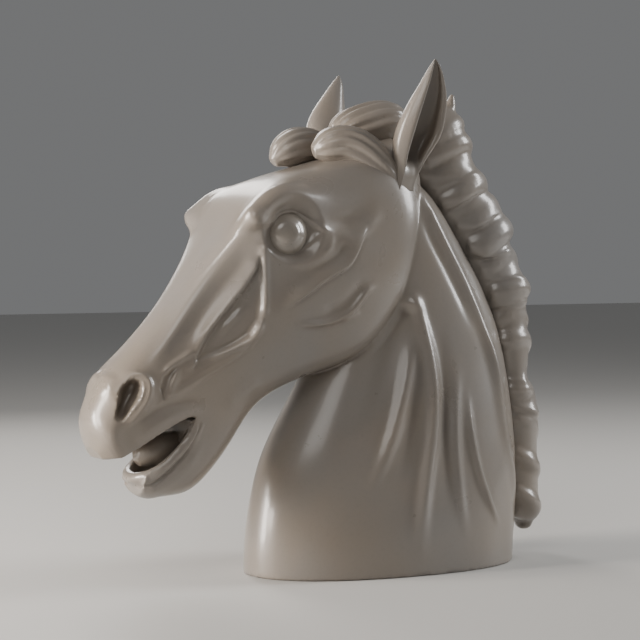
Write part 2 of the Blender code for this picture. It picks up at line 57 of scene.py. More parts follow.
# Sections of the head: s, then (x, h) down the left half from top to underside.
HEAD_SECTIONS = [
    (-35, [(0, 50), (15, 48), (30, 38), (38, 22), (40, 8), (36, -8), (26, -20), (12, -28), (0, -30)]),
    (0, [(0, 58), (25, 56), (48, 46), (60, 30), (63, 8), (60, -18), (50, -42), (30, -56), (0, -60)]),
    (60, [(0, 76), (30, 75), (56, 66), (70, 45), (75, 15), (74, -25), (67, -66), (48, -98), (0, -106)]),
    (110, [(0, 95), (35, 93), (62, 82), (77, 60), (81, 25), (80, -22), (73, -70), (53, -113), (0, -125)]),
    (160, [(0, 102), (38, 102), (70, 96), (84, 72), (82, 30), (79, -17), (72, -66), (52, -115), (0, -127)]),
    (200, [(0, 90), (32, 90), (57, 84), (71, 62), (73, 22), (74, -20), (66, -62), (46, -104), (0, -114)]),
    (245, [(0, 75), (24, 74), (42, 65), (55, 42), (65, 10), (65, -26), (56, -60), (37, -92), (0, -100)]),
    (290, [(0, 62), (20, 60), (34, 51), (45, 32), (55, 4), (54, -26), (47, -58), (32, -88), (0, -98)]),
    (335, [(0, 52), (18, 50), (31, 42), (41, 25), (48, 0), (48, -28), (44, -64), (33, -99), (0, -112)]),
    (375, [(0, 46), (18, 44), (33, 37), (45, 22), (49, 0), (47, -30), (43, -70), (33, -108), (0, -122)]),
    (410, [(0, 40), (18, 38), (34, 30), (45, 15), (46, -4), (42, -30), (38, -68), (29, -107), (0, -121)]),
    (437, [(0, 26), (16, 24), (31, 14), (40, 1), (40, -14), (36, -34), (32, -64), (24, -94), (0, -105)]),
    (456, [(0, 5), (12, 3), (23, -3), (30, -12), (31, -21), (28, -34), (24, -52), (17, -68), (0, -77)]),
    (463, [(0, -12), (6, -13), (12, -16), (16, -20), (16, -25), (15, -31), (12, -38), (8, -43), (0, -46)]),
]
# Sections of the neck: front (y, z), back (y, z), half width.
NECK_SECTIONS = [
    ((-160, 0), (183, 0), 98), ((-160, 20), (184, 20), 98), ((-155, 70), (188, 75), 95),
    ((-138, 135), (188, 150), 86), ((-108, 190), (178, 225), 76), ((-80, 240), (160, 290), 68),
    ((-58, 285), (128, 350), 63), ((-38, 330), (92, 402), 60), ((-15, 370), (50, 447), 54),
    ((0, 400), (15, 465), 40),
]
# Half outline of a neck section: share of the way from front to back, share of the half width.
NECK_OVAL = [(0, 0), (0.03, 0.36), (0.13, 0.68), (0.33, 0.93), (0.58, 1), (0.8, 0.88), (0.93, 0.6), (1, 0)]

# The mouth and tongue, in s and h.
MOUTH_CORNER = (357, -50)
UPPER_LIP = [(366, -45), (384, -41), (405, -39), (430, -38), (448, -35), (466, -27), (490, -20)]
LOWER_LIP = [
    (364, -55), (380, -61), (398, -65), (414, -67), (430, -67), (440, -69), (448, -78), (454, -96),
    (490, -130),
]
# Rim of the lower lip: along, above, across, radius.
LIP_ROLL = [
    (357, -60, 42, 3.5), (370, -65, 41, 5.5), (390, -70, 38, 6.2), (410, -73, 35, 6.4),
    (426, -73.5, 30.5, 6.4), (436, -72.5, 23, 6.6), (441, -72, 13, 6.8), (443, -72, 0, 6.8),
]
JAW_BACK = 352
# Hollow of the mouth, and tongue: s, middle h, half width, half height.
MOUTH_HOLLOW = [
    (361, -52, 28, 6), (371, -56, 36, 15), (388, -60, 38, 24), (408, -62, 36, 29), (428, -59, 31, 28),
    (442, -55, 24, 22), (451, -53, 13, 12),
]
TONGUE = [
    (366, -74, 10, 8), (378, -71, 15, 12), (392, -66, 20, 17), (408, -62, 22, 18), (420, -60, 18, 15),
    (429, -61, 7, 6),
]
EYE_CENTRE = (59, -149, 385)
EYE_RADIUS = 26

# Ears: x, y, z of the middle, half width of the shell.
EAR_LEFT = [
    (62, 4, 434, 15), (64, 7, 446, 14), (66, 11, 462, 18), (69, 15, 478, 24), (73, 21, 497, 29.5),
    (77, 26, 518, 28.5), (81, 30, 540, 23), (85, 31.5, 560, 14.5), (89, 30, 575, 6.5), (90, 29, 582, 1),
]
EAR_RIGHT = [
    (-60, -4, 434, 15), (-62, -8, 448, 14), (-65, -14, 468, 18), (-69, -20, 490, 25), (-74, -19, 512, 25),
    (-79, -12, 533, 20), (-84, -2, 553, 12.5), (-87, 5, 568, 6), (-88, 8, 576, 1),
]
EAR_TURN = math.radians(10)
# One section of an ear's shell, in shares of its half width: along the rims, towards the opening.
EAR_OUTSIDE = [
    (-0.62, 0.30), (-0.86, 0.14), (-1.0, -0.18), (-0.92, -0.58), (-0.55, -0.88), (0, -0.98), (0.5, -0.84),
    (0.85, -0.48), (1.0, 0.02),
]
EAR_INSIDE = [
    (0.90, 0.0), (0.72, -0.42), (0.42, -0.68), (0, -0.80), (-0.45, -0.70), (-0.74, -0.46), (-0.82, -0.16),
    (-0.72, 0.06), (-0.58, 0.18),
]

# Forelocks, as swept ovals: x, y, z of the middle, half width and half height.
FORELOCK_LEFT = [
    (62, -4, 436, 4, 5), (57, -18, 456, 12, 15), (44, -34, 474, 20, 22), (30, -56, 484, 22, 23),
    (23, -76, 482, 18, 18), (19, -89, 478, 8, 8),
]
FORELOCK_RIGHT = [
    (-56, -20, 456, 10, 12), (-49, -36, 470, 17, 20), (-38, -62, 484, 21, 23), (-32, -88, 482, 21, 22),
    (-32, -104, 474, 15, 15), (-33, -112, 467, 7, 7),
]
FORELOCK_CROWN = [
    (-8, -48, 490, 12, 10), (-5, -32, 501, 24, 23), (-2, -6, 508, 30, 28), (2, 20, 513, 29, 26),
    (3, 40, 512, 20, 18),
]

# The mane follows the crest: a point on the neck, one on the outline of the hair, half width.
MANE_LINE = [
    ((22, 468), (64, 533), 36), ((48, 452), (105, 540), 37), ((64, 438), (126, 500), 40),
    ((80, 418), (150, 448), 41), ((98, 395), (178, 412), 41), ((115, 370), (190, 372), 40),
    ((130, 345), (208, 338), 40), ((148, 312), (214, 308), 39), ((160, 290), (214, 275), 38),
    ((164, 258), (216, 240), 40), ((170, 228), (213, 205), 40), ((174, 192), (229, 178), 40),
    ((176, 152), (230, 140), 40), ((176, 112), (231, 100), 39), ((178, 75), (233, 58), 36),
    ((180, 45), (222, 27), 27),
]
MANE_LOCKS = [(0, 2), (2, 4), (4, 6), (6, 8), (8, 10), (10, 12), (12, 13.6), (13.6, 15)]
# Folds of the mane, each rising from the neck over the crest: x, y, z of its top, and its radius.
MANE_FOLDS = [
    [(30, 62, 492, 15), (22, 86, 508, 15), (10, 106, 514, 14), (0, 116, 516, 13)],
    [(34, 52, 472, 16), (28, 76, 483, 16), (14, 104, 490, 15), (0, 124, 486, 14)],
    [(37, 42, 444, 13), (30, 67, 454, 15), (18, 98, 460, 15), (0, 134, 464, 13)],
    [(36, 66, 412, 13), (26, 92, 430, 15), (14, 120, 444, 15), (0, 149, 446, 14)],
    [(36, 86, 388, 14), (26, 121, 402, 17), (14, 147, 418, 18), (0, 174, 420, 16)],
    [(36, 104, 364, 14), (24, 134, 378, 18), (12, 162, 389, 20), (0, 186, 388, 18)],
    [(36, 118, 338, 12), (26, 142, 347, 14), (13, 168, 356, 14), (0, 198, 350, 13)],
    [(36, 130, 306, 13), (25, 152, 317, 15), (13, 178, 322, 15), (0, 206, 318, 14)],
    [(35, 140, 276, 14), (24, 166, 286, 16), (12, 188, 283, 15), (0, 207, 274, 14)],
    [(34, 146, 250, 14), (24, 172, 258, 16), (12, 196, 254, 15), (0, 213, 244, 14)],
    [(34, 153, 224, 11), (24, 173, 225, 12), (12, 195, 229, 13), (0, 210, 226, 12)],
    [(35, 158, 200, 11), (22, 187, 201, 13), (11, 208, 190, 14), (0, 227, 179, 13)],
    [(33, 164, 168, 11), (24, 188, 164, 14), (12, 214, 144, 17), (0, 230, 128, 17)],
    [(32, 172, 128, 12), (24, 192, 118, 15), (12, 211, 98, 16), (0, 226, 92, 15)],
    [(30, 178, 80, 12), (22, 196, 72, 14), (12, 214, 54, 16), (0, 231, 46, 15)],
    [(24, 182, 48, 10), (18, 196, 38, 11), (8, 212, 26, 10), (0, 217, 20, 8)],
]

# A short upright fold at the top of the mane, on one side.
MANE_TUFT = [(11, 96, 500, 6), (11, 100, 524, 7), (11, 103, 541, 6), (10, 106, 552, 2.5)]
# How far the core stays inside the outline, and how far each fold stands out of the core.
MANE_INSET = 5
MANE_HEIGHTS = [5, 6, 3, 6.5, 4.5, 9, 4, 7.5, 4, 6.5, 3.5, 7.5, 3.5, 5, 6.5, 4]
# Steps between the folds: line in the side view, height, how fast it falls off.
MANE_STEPS = [
    ([(53, 430), (83, 442), (111, 451), (138, 456)], 3.0, 4.0),
    ([(78, 408), (103, 425), (134, 437), (160, 438)], 3.0, 4.0),
    ([(100, 386), (130, 397), (155, 409), (182, 408)], 2.5, 3.5),
    ([(111, 366), (131, 359), (156, 360), (184, 367)], 6.0, 4.5),
    ([(125, 329), (154, 332), (183, 331), (206, 329)], 3.0, 4.0),
    ([(134, 297), (162, 299), (190, 302), (214, 303)], 3.5, 4.0),
    ([(159, 211), (184, 208), (200, 207)], 3.0, 4.0),
    ([(161, 184), (184, 176), (209, 169), (226, 162)], 4.0, 3.5),
    ([(216, 40), (212, 28), (206, 18)], 5.0, 6.0),
]

# The foot: wall of the moulding, plate that closes it, gap between them, ring inside, filling hole.
WALL = 4.5
PLATE_THICK = 5
PLATE_GAP = 0.3
RING_WIDTH = 15
SCREWS = 6
BUNG_Y = 62
BUNG_PITCH = 4
BUNG_TOP = 24
BUNG_HEAD_TOP = 5.4
BOSS_RADIUS = 36
BOSS_TOP = 16

# ---------------------------------------------------------------- curves and lofts


def curve_through(knots, values, at):
    """Natural cubic spline through values at the knots, read at the given places."""
    knots, values, at = np.asarray(knots, float), np.asarray(values, float), np.asarray(at, float)
    count, steps = len(knots), np.diff(knots)
    flat = values.reshape(count, -1)
    system, right = np.eye(count), np.zeros_like(flat)
    for i in range(1, count - 1):
        system[i, i - 1 : i + 2] = steps[i - 1], 2 * (steps[i - 1] + steps[i]), steps[i]
        right[i] = 6 * ((flat[i + 1] - flat[i]) / steps[i] - (flat[i] - flat[i - 1]) / steps[i - 1])
    bend = np.linalg.solve(system, right)
    k = np.clip(np.searchsorted(knots, at, "right") - 1, 0, count - 2)
    step = steps[k][:, None]
    a = (knots[k + 1] - at)[:, None] / step
    b = 1 - a
    read = a * flat[k] + b * flat[k + 1] + ((a**3 - a) * bend[k] + (b**3 - b) * bend[k + 1]) * step**2 / 6
    return read.reshape(len(at), *values.shape[1:])


def smooth_line(points, count=24):
    """Even points along a smooth curve through a few given ones."""
    points = np.asarray(points, float)
    run = np.concatenate([[0], np.cumsum(np.linalg.norm(np.diff(points, axis=0), axis=1))])
    return curve_through(run, points, np.linspace(0, run[-1], count))


def even_ring(points, count):
    """Resamples a closed ring evenly along a smooth curve, starting at its first point."""
    extra = 4
    looped = np.vstack([points[-extra:], points, points[: extra + 1]])
    run = np.concatenate([[0], np.cumsum(np.linalg.norm(np.diff(looped, axis=0), axis=1))])
    start, end = run[extra], run[extra + len(points)]
    return curve_through(run, looped, start + (end - start) * np.arange(count) / count)


def both_halves(half):
    """A closed outline from its left half."""
    half = np.array(half, float)
    other = half[-2:0:-1].copy()
    other[:, 0] *= -1
    return np.vstack([half, other])


def head_point(s, h, x):
    """Points in x, y, z from places along, above and across the head."""
    s, h, x = np.broadcast_arrays(np.asarray(s, float), h, x)
    plane = POLL + s[..., None] * ALONG + h[..., None] * ABOVE
    return np.concatenate([x[..., None], plane], axis=-1)


def head_rings(stations=130, around=120):
    knots = [s for s, _ in HEAD_SECTIONS]
    places = np.linspace(knots[0], knots[-1], stations)
    sections = curve_through(knots, [both_halves(half) for _, half in HEAD_SECTIONS], places)
    rings = []
    for s, section in zip(places, sections):
        section = even_ring(section, around)
        rings.append(head_point(s, section[:, 1], section[:, 0]))
    return np.array(rings)


def neck_rings(stations=120, around=140):
    sections = []
    for front, back, half_width in NECK_SECTIONS:
        front, back = np.array(front, float), np.array(back, float)
        half = [(share * half_width, *(front + (back - front) * t)) for t, share in NECK_OVAL]
        sections.append(both_halves(half))
    sections = np.array(sections)
    run = np.concatenate([[0], np.cumsum(np.linalg.norm(np.diff(sections.mean(axis=1), axis=0), axis=1))])
    places = np.linspace(0, run[-1], stations)
    return np.array([even_ring(ring, around) for ring in curve_through(run, sections, places)])


def oval_rings(sections, around=40, stations=30):
    """Ovals across the head: s, middle h, half width, half height."""
    sections = np.array(sections, float)
    rows = curve_through(sections[:, 0], sections, np.linspace(sections[0, 0], sections[-1, 0], stations))
    angles = 2 * math.pi * np.arange(around) / around
    rings = [head_point(s, h + high * np.cos(angles), wide * np.sin(angles)) for s, h, wide, high in rows]
    return np.array(rings)


# ---------------------------------------------------------------- meshes


def object_of(name, mesh):
    obj = bpy.data.objects.new(name, mesh)
    bpy.context.scene.collection.objects.link(obj)
    return obj


def discard(*objects):
    for obj in objects:
        mesh = obj.data
        bpy.data.objects.remove(obj)
        bpy.data.meshes.remove(mesh)


def loft(name, rings):
    """A closed skin over a stack of rings, in metres."""
    rings = np.asarray(rings, float) * MM
    count, around, _ = rings.shape
    index = np.arange(count * around).reshape(count, around)
    low, high = index[:-1], index[1:]
    quads = np.stack([low, np.roll(low, -1, 1), np.roll(high, -1, 1), high], axis=-1).reshape(-1, 4)
    faces = quads.tolist() + [index[0][::-1].tolist(), index[-1].tolist()]
    mesh = bpy.data.meshes.new(name)
    mesh.from_pydata(rings.reshape(-1, 3).tolist(), [], faces)
    face_out(mesh)
    return object_of(name, mesh)


def face_out(mesh):
    shape = bmesh.new()
    shape.from_mesh(mesh)
    bmesh.ops.recalc_face_normals(shape, faces=shape.faces)
    shape.to_mesh(mesh)
    shape.free()


def ball(name, centre, radius, segments):
    mesh = bpy.data.meshes.new(name)
    shape = bmesh.new()
    bmesh.ops.create_uvsphere(shape, u_segments=segments, v_segments=segments // 2, radius=radius * MM)
    bmesh.ops.rotate(shape, verts=shape.verts, matrix=Matrix.Rotation(math.pi / 2, 3, "Y"))
    bmesh.ops.translate(shape, verts=shape.verts, vec=Vector(centre) * MM)
    shape.to_mesh(mesh)
    shape.free()
    return object_of(name, mesh)


def tree_of(mesh):
    """A tree that finds the nearest place on a mesh."""
    shape = bmesh.new()
    shape.from_mesh(mesh)
    tree = BVHTree.FromBMesh(shape)
    shape.free()
    return tree


def face_corners(mesh):
    """The point at each corner, each face's first corner and number of them, and each corner's face."""
    around = np.empty(len(mesh.loops), np.int32)
    mesh.loops.foreach_get("vertex_index", around)
    start, total = np.empty((2, len(mesh.polygons)), np.int32)
    mesh.polygons.foreach_get("loop_start", start)
    mesh.polygons.foreach_get("loop_total", total)
    return around, start, total, np.repeat(np.arange(len(total)), total)


def store_creases(mesh, depth):
    """Keeps the depth of the folds in the mesh, where the glaze reads it to paint shade into them."""
    layer = mesh.attributes.new("crease", "FLOAT", "POINT")
    layer.data.foreach_set("value", np.asarray(depth, np.float32))


def evaluated(obj):
    """The object's mesh with its modifiers applied, in a new object; the old one is removed."""
    bpy.context.view_layer.update()
    graph = bpy.context.evaluated_depsgraph_get()
    mesh = bpy.data.meshes.new_from_object(obj.evaluated_get(graph))
    name = obj.name
    bpy.data.objects.remove(obj)
    mesh.name = name
    return object_of(name, mesh)


def cut(target, *cutters):
    for cutter in cutters:
        modifier = target.modifiers.new(cutter.name, "BOOLEAN")
        modifier.operation = "DIFFERENCE"
        modifier.object = cutter
    made = evaluated(target)
    discard(*cutters)
    return made


def joined(name, *objects):
    shape = bmesh.new()
    for obj in objects:
        shape.from_mesh(obj.data)
    mesh = bpy.data.meshes.new(name)
    shape.to_mesh(mesh)
    shape.free()
    discard(*objects)
    return object_of(name, mesh)


def rounded(obj, voxel):
    """One even skin over everything in the object, as if modelled in clay."""
    remesh = obj.modifiers.new("clay", "REMESH")
    remesh.mode = "VOXEL"
    remesh.voxel_size = voxel * MM
    remesh.adaptivity = 0
    return evaluated(obj)


class Clay:
    """The points of a dense mesh in millimetres, with the moves that a modelling tool makes."""

    def __init__(self, obj):
        self.obj = obj
        self.read()

    def read(self):
        mesh = self.obj.data
        self.points = np.empty(len(mesh.vertices) * 3, np.float32)
        mesh.vertices.foreach_get("co", self.points)
        self.points = self.points.reshape(-1, 3).astype(float) / MM
        self.edges = np.empty(len(mesh.edges) * 2, np.int32)
        mesh.edges.foreach_get("vertices", self.edges)
        self.edges = self.edges.reshape(-1, 2)
        ends = np.concatenate([self.edges[:, 0], self.edges[:, 1]])
        self.ends, self.others = ends, np.concatenate([self.edges[:, 1], self.edges[:, 0]])
        self.degree = np.bincount(ends, minlength=len(self.points))

    def write(self):
        self.obj.data.vertices.foreach_set("co", (self.points * MM).astype(np.float32).ravel())
        self.obj.data.update()

    def normals(self):
        self.write()
        normal = np.empty(len(self.points) * 3, np.float32)
        self.obj.data.vertices.foreach_get("normal", normal)
        return normal.reshape(-1, 3).astype(float)

    def spread(self, values):
        """The mean of each point's neighbours."""
        values = np.asarray(values, float)
        columns = values.reshape(len(values), -1).T
        summed = [np.bincount(self.ends, column[self.others], len(values)) for column in columns]
        return (np.stack(summed, 1) / np.maximum(self.degree, 1)[:, None]).reshape(values.shape)

    def smooth(self, times, share=0.5, weight=None):
        """Evens the surface; every second pass pushes back out, so that it doesn't shrink."""
        for turn in range(times):
            amount = share if turn % 2 == 0 else -share * 0.96
            move = (self.spread(self.points) - self.points) * amount
            self.points += move if weight is None else move * weight[:, None]

    def melt(self, times, weight):
        """Fills creases where the weight is high."""
        for _ in range(times):
            self.points += (self.spread(self.points) - self.points) * (0.5 * weight)[:, None]

    def push(self, amount):
        """Moves every point along its normal by its own amount."""
        self.points += self.normals() * amount[:, None]

    def head_plane(self):
        plane = self.points[:, 1:] - POLL
        return plane @ ALONG, plane @ ABOVE


def away(u, v, line):
    """Distance to a line in the plane, the share of its length there, and the side of it."""
    best = np.full(len(u), 1e9)
    share, side = np.zeros(len(u)), np.ones(len(u))
    count = len(line) - 1
    for i in range(count):
        (u0, v0), (u1, v1) = line[i], line[i + 1]
        du, dv = u1 - u0, v1 - v0
        t = np.clip(((u - u0) * du + (v - v0) * dv) / max(du * du + dv * dv, 1e-9), 0, 1)
        far_u, far_v = u - u0 - t * du, v - v0 - t * dv
        far = far_u**2 + far_v**2
        near = far < best
        best = np.where(near, far, best)
        share = np.where(near, (i + t) / count, share)
        side = np.where(near, np.sign(du * far_v - dv * far_u), side)
    return np.sqrt(best), share, side


def faded(share, ends):
    """1 along the middle of a stroke, falling to 0 over the given share at each end."""
    first, last = ends
    rise = np.clip(share / max(first, 1e-6), 0, 1)
    fall = np.clip((1 - share) / max(last, 1e-6), 0, 1)
    blend = np.minimum(rise, fall)
    return blend * blend * (3 - 2 * blend)


def stroke(u, v, points, height, width, ends=(0.25, 0.25)):
    """A ridge, or a furrow if the height is negative, along a line."""
    far, share, _ = away(u, v, smooth_line(points))
    return height * np.exp(-((far / width) ** 2)) * faded(share, ends)


def ledge(u, v, points, height, width, ends=(0.25, 0.25), crisp=1.5):
    """A step: the surface stands up on the line's left and falls off slowly away from it."""
    far, share, side = away(u, v, smooth_line(points))
    signed = far * side
    rise = 0.5 + 0.5 * np.tanh(signed / crisp)
    return height * rise * np.exp(-((far / width) ** 2)) * faded(share, ends)


def hollow(u, v, outline, depth, soft):
    """A sunk or raised area with soft edges."""
    outline = np.asarray(outline, float)
    closed = np.vstack([outline, outline[:1]])
    far, _, _ = away(u, v, closed)
    inside = np.zeros(len(u), bool)
    for (u0, v0), (u1, v1) in zip(closed, closed[1:]):
        crosses = (v0 > v) != (v1 > v)
        inside ^= crosses & (u < (u1 - u0) * (v - v0) / (v1 - v0 + 1e-12) + u0)
    signed = np.where(inside, far, -far)
    return depth * (0.5 + 0.5 * np.tanh(signed / soft))


# ---------------------------------------------------------------- the sculpted head and neck

HEAD_VOXEL = 2.0
EYE_OPENING = (157, 52)
NOSTRIL = [
    (410, 29), (399, 31), (390, 28), (387, 22), (391, 15), (401, 8), (415, 3), (433, 0), (436, 4), (429, 12),
    (420, 21),
]
# The pocket behind it, ring by ring: distance out from the middle, size, how far it turns back.
NOSTRIL_POCKET = [(62, 1.3, 0), (49, 1.1, 0), (42, 0.98, 0), (35, 0.8, 3), (29, 0.55, 7), (26, 0.25, 9)]
LIP_BORDER = [(356, -56), (363, -62), (384, -73), (413, -80), (439, -81), (454, -74)]
LEAF = [
    (204, 50), (214, 41), (239, 30), (271, 21), (299, 13), (322, 1), (330, -5), (312, -9), (288, -12),
    (262, -13), (244, -6), (231, 6), (216, 26),
]


def nostril_rings(side):
    """A comma-shaped pocket that narrows and turns back as it goes in."""
    outline = even_ring(np.array(NOSTRIL, float), 36)
    middle = outline.mean(axis=0)
    rings = []
    for x, size, back in NOSTRIL_POCKET:
        ring = middle + (outline - middle) * size - (back, 0)
        rings.append(head_point(ring[:, 0], ring[:, 1], side * x))
    return np.array(rings)


def lip_roll():
    """The thick rim of the lower lip, from one corner of the mouth round the front to the other."""
    curve = bpy.data.curves.new("lip_roll", "CURVE")
    curve.dimensions = "3D"
    curve.bevel_depth = MM
    curve.bevel_resolution = 4
    curve.use_fill_caps = True
    path = smooth_line(LIP_ROLL + [(s, h, -x, r) for s, h, x, r in LIP_ROLL[-2::-1]], 90)
    spline = curve.splines.new("POLY")
    spline.points.add(len(path) - 1)
    for point, (s, h, x, radius) in zip(spline.points, path):
        place = head_point(s, h, x)
        point.co = (*(place * MM), 1)
        point.radius = radius
    made = evaluated(object_of("lip_roll", curve))
    face_out(made.data)
    return made


def mouth_gap():
    outline = np.vstack([[MOUTH_CORNER], UPPER_LIP, LOWER_LIP[::-1]]).astype(float)
    return loft("mouth_gap", np.array([head_point(outline[:, 0], outline[:, 1], x) for x in (-90, 90)]))


def foot_outline(inset, around=120):
    """The neck's outline at the ground, moved inwards by the inset."""
    ring = neck_rings(3, around)[0][:, :2]
    tangent = np.roll(ring, -1, 0) - np.roll(ring, 1, 0)
    normal = np.stack([tangent[:, 1], -tangent[:, 0]], axis=1)
    normal /= np.linalg.norm(normal, axis=1, keepdims=True)
    normal *= np.sign((normal * ring).sum())
    return ring - normal * inset


def upright(outline, levels):
    """Rings of one outline at several heights."""
    return np.array([np.column_stack([outline, np.full(len(outline), z)]) for z in levels])


def sculpt_bust():
    """Head and neck as one clay body, with its mouth, nostrils and open foot."""
    head = loft("head_form", head_rings())
    cutters = [mouth_gap(), loft("mouth_hollow", oval_rings(MOUTH_HOLLOW))]
    for side in (1, -1):
        cutters.append(loft(f"nostril_{side}", nostril_rings(side)))
    head = joined("head_and_lip", cut(head, *cutters), lip_roll())
    neck = loft("neck_form", neck_rings())
    neck = cut(neck, loft("foot_room", upright(foot_outline(WALL), (-5, 52))))
    clay = Clay(rounded(joined("bust", head, neck), HEAD_VOXEL))
    clay.smooth(8)
    return clay


def finer(clay, wanted):
    """Splits the faces whose points are all wanted, for small details."""
    mesh = clay.obj.data
    shape = bmesh.new()
    shape.from_mesh(mesh)
    shape.edges.ensure_lookup_table()
    pick = wanted[clay.edges].all(axis=1)
    chosen = [shape.edges[i] for i in np.flatnonzero(pick)]
    bmesh.ops.subdivide_edges(shape, edges=chosen, cuts=1, use_grid_fill=True)
    shape.to_mesh(mesh)
    shape.free()
    clay.read()


def distance_to(rings, points):
    """Signed distance from each point to a lofted form, in millimetres: positive outside."""
    form = loft("measure", rings)
    tree = tree_of(form.data)
    discard(form)
    far = np.empty(len(points))
    for i, point in enumerate(points * MM):
        place, normal, _, length = tree.find_nearest(point)
        far[i] = length if (Vector(point) - place).dot(normal) > 0 else -length
    return far / MM


def eased(share):
    share = np.clip(share, 0, 1)
    return share * share * (3 - 2 * share)


def eye_strokes(s, h):
    """Socket, lids and the folds round one eye, in the plane of the face."""
    ds, dh = s - EYE_OPENING[0], h - EYE_OPENING[1]
    far = np.hypot(ds, dh)
    up = eased(dh / np.maximum(far, 1) * 0.7 + 0.45)
    move = -(10.5 + 3.5 * up) * (1 - eased((far - 24) / 14))
    # Brow: a heavy roll of bone that starts in a knob over the front corner of the eye.
    crest = [(190, 74), (184, 87), (168, 94), (151, 92), (135, 85), (121, 74), (106, 58), (92, 44)]
    move += stroke(s, h, crest, 8.0, 12.5, (0.06, 0.6))
    move += 4.5 * np.exp(-(((s - 185) / 9) ** 2 + ((h - 86) / 12) ** 2))
    # Hollow behind the eye, with a lit fold below it.
    temple = [(126, 58), (118, 40), (106, 27), (88, 19), (68, 16), (48, 18)]
    move += stroke(s, h, temple, -4.0, 11.0, (0.5, 0.5))
    move += stroke(s, h, [(122, 14), (104, 2), (84, -1), (62, 0), (44, 4)], 2.4, 7.0, (0.2, 0.4))
    # The lids: a thin rim round the ball, which runs on behind it.
    upper = [
        (178, 62), (174, 71), (163, 77), (151, 76), (140, 69), (134, 57), (130, 42), (126, 30), (115, 20),
    ]
    lower = [(179, 60), (182, 46), (176, 34), (163, 28), (150, 27), (140, 29), (131, 31)]
    move += stroke(s, h, upper, 2.8, 2.4, (0.06, 0.2))
    move += stroke(s, h, lower, 2.0, 2.2, (0.06, 0.1))
    move += stroke(s, h, [(182, 72), (170, 81), (154, 82), (139, 77), (129, 64)], -2.6, 3.4, (0.2, 0.3))
    # Folds under and behind the eye.
    move += stroke(s, h, [(119, 22), (133, 12), (147, 10), (168, 15), (184, 26)], 2.2, 4.2)
    move += stroke(s, h, [(108, 10), (122, 0), (144, -1), (168, 6)], -1.6, 3.4)
    return move


def face_strokes(s, h):
    """Bones, veins and folds from the cheek to the nostril."""
    fold = [(74, 4), (90, -6), (106, -14), (126, -20), (145, -17), (173, -15), (200, -14), (222, -12)]
    move = ledge(s, h, fold, 5.4, 13, (0.25, 0.25), 1.1)
    move += stroke(s, h, [(215, -32), (193, -49), (169, -61), (145, -63), (120, -58), (101, -62)], 4.8, 4.0)
    move += stroke(s, h, [(180, -40), (160, -50), (136, -50), (112, -46)], -1.6, 6.0)
    move += stroke(s, h, [(168, -66), (153, -70), (137, -72)], 1.5, 3.0)

    # The long leaf-shaped hollow between sharp edges.
    move += hollow(s, h, LEAF, -5.2, 2.6)
    move += ledge(s, h, LEAF[:6], 3.2, 8, (0.1, 0.25), 1.2)
    move += stroke(s, h, [(243, 17), (261, 13), (276, 10), (291, 5)], 2.4, 3.8, (0.4, 0.4))
    move += stroke(s, h, [(192, 62), (200, 50), (211, 32), (226, 10), (240, -8)], 3.4, 5.0, (0.12, 0.15))

    # Two veins run from it to the muzzle, and end in a sharp fold behind the nostril.
    move += stroke(s, h, [(238, -6), (263, -16), (290, -12), (317, -5), (345, 2)], 2.6, 3.6, (0.1, 0.25))
    move += stroke(s, h, [(240, -10), (279, -23), (310, -21), (342, -16), (374, -12)], 2.8, 4.0, (0.1, 0.15))
    move += stroke(s, h, [(316, 9), (340, 12), (353, 13), (366, 12)], 2.2, 3.2)
    move += hollow(s, h, [(345, 8), (364, 9), (374, 2), (378, -10), (367, -3), (358, 3)], -3.2, 1.8)
    move += ledge(s, h, [(376, -12), (367, -4), (358, 2), (343, 9)], 2.4, 7, (0.15, 0.3), 1.2)
    nose_edge = [(186, 88), (222, 74), (262, 60), (300, 46), (335, 34), (372, 28)]
    move += stroke(s, h, nose_edge, 2.4, 7.0, (0.1, 0.2))
    move += stroke(s, h, [(200, 66), (232, 52), (266, 41), (300, 28), (334, 16)], -1.6, 7.0, (0.2, 0.3))
    move += stroke(s, h, [(326, -58), (300, -64), (270, -66)], 1.8, 9.0)
    return move


def muzzle_strokes(s, h):
    """Nostrils and lips."""
    rim = [(404, 35), (394, 34), (384, 29), (380, 19), (385, 9), (398, 0), (414, -5), (432, -8)]
    move = stroke(s, h, rim, 2.6, 3.2, (0.3, 0.2))
    move += stroke(s, h, [(374, 30), (371, 18), (374, 6), (386, -7), (404, -13)], -1.0, 4.5, (0.3, 0.3))
    move += stroke(s, h, [(398, 44), (409, 38), (417, 30), (425, 21)], 2.2, 5.0, (0.3, 0.4))
    roll = [(434, -27), (404, -28), (386, -29), (368, -35), (355, -45), (351, -56)]
    move += stroke(s, h, roll, 3.2, 7.0, (0.2, 0.4))
    border = [(424, -12), (402, -13), (384, -16), (364, -25), (345, -38), (338, -54)]
    move += stroke(s, h, border, -2.2, 4.0, (0.2, 0.4))
    move += stroke(s, h, LIP_BORDER, -2.2, 1.9, (0.1, 0.02))
    move += stroke(s, h, [(362, -76), (380, -84), (402, -90), (424, -91), (446, -84)], 2.0, 6.0, (0.4, 0.1))
    return move


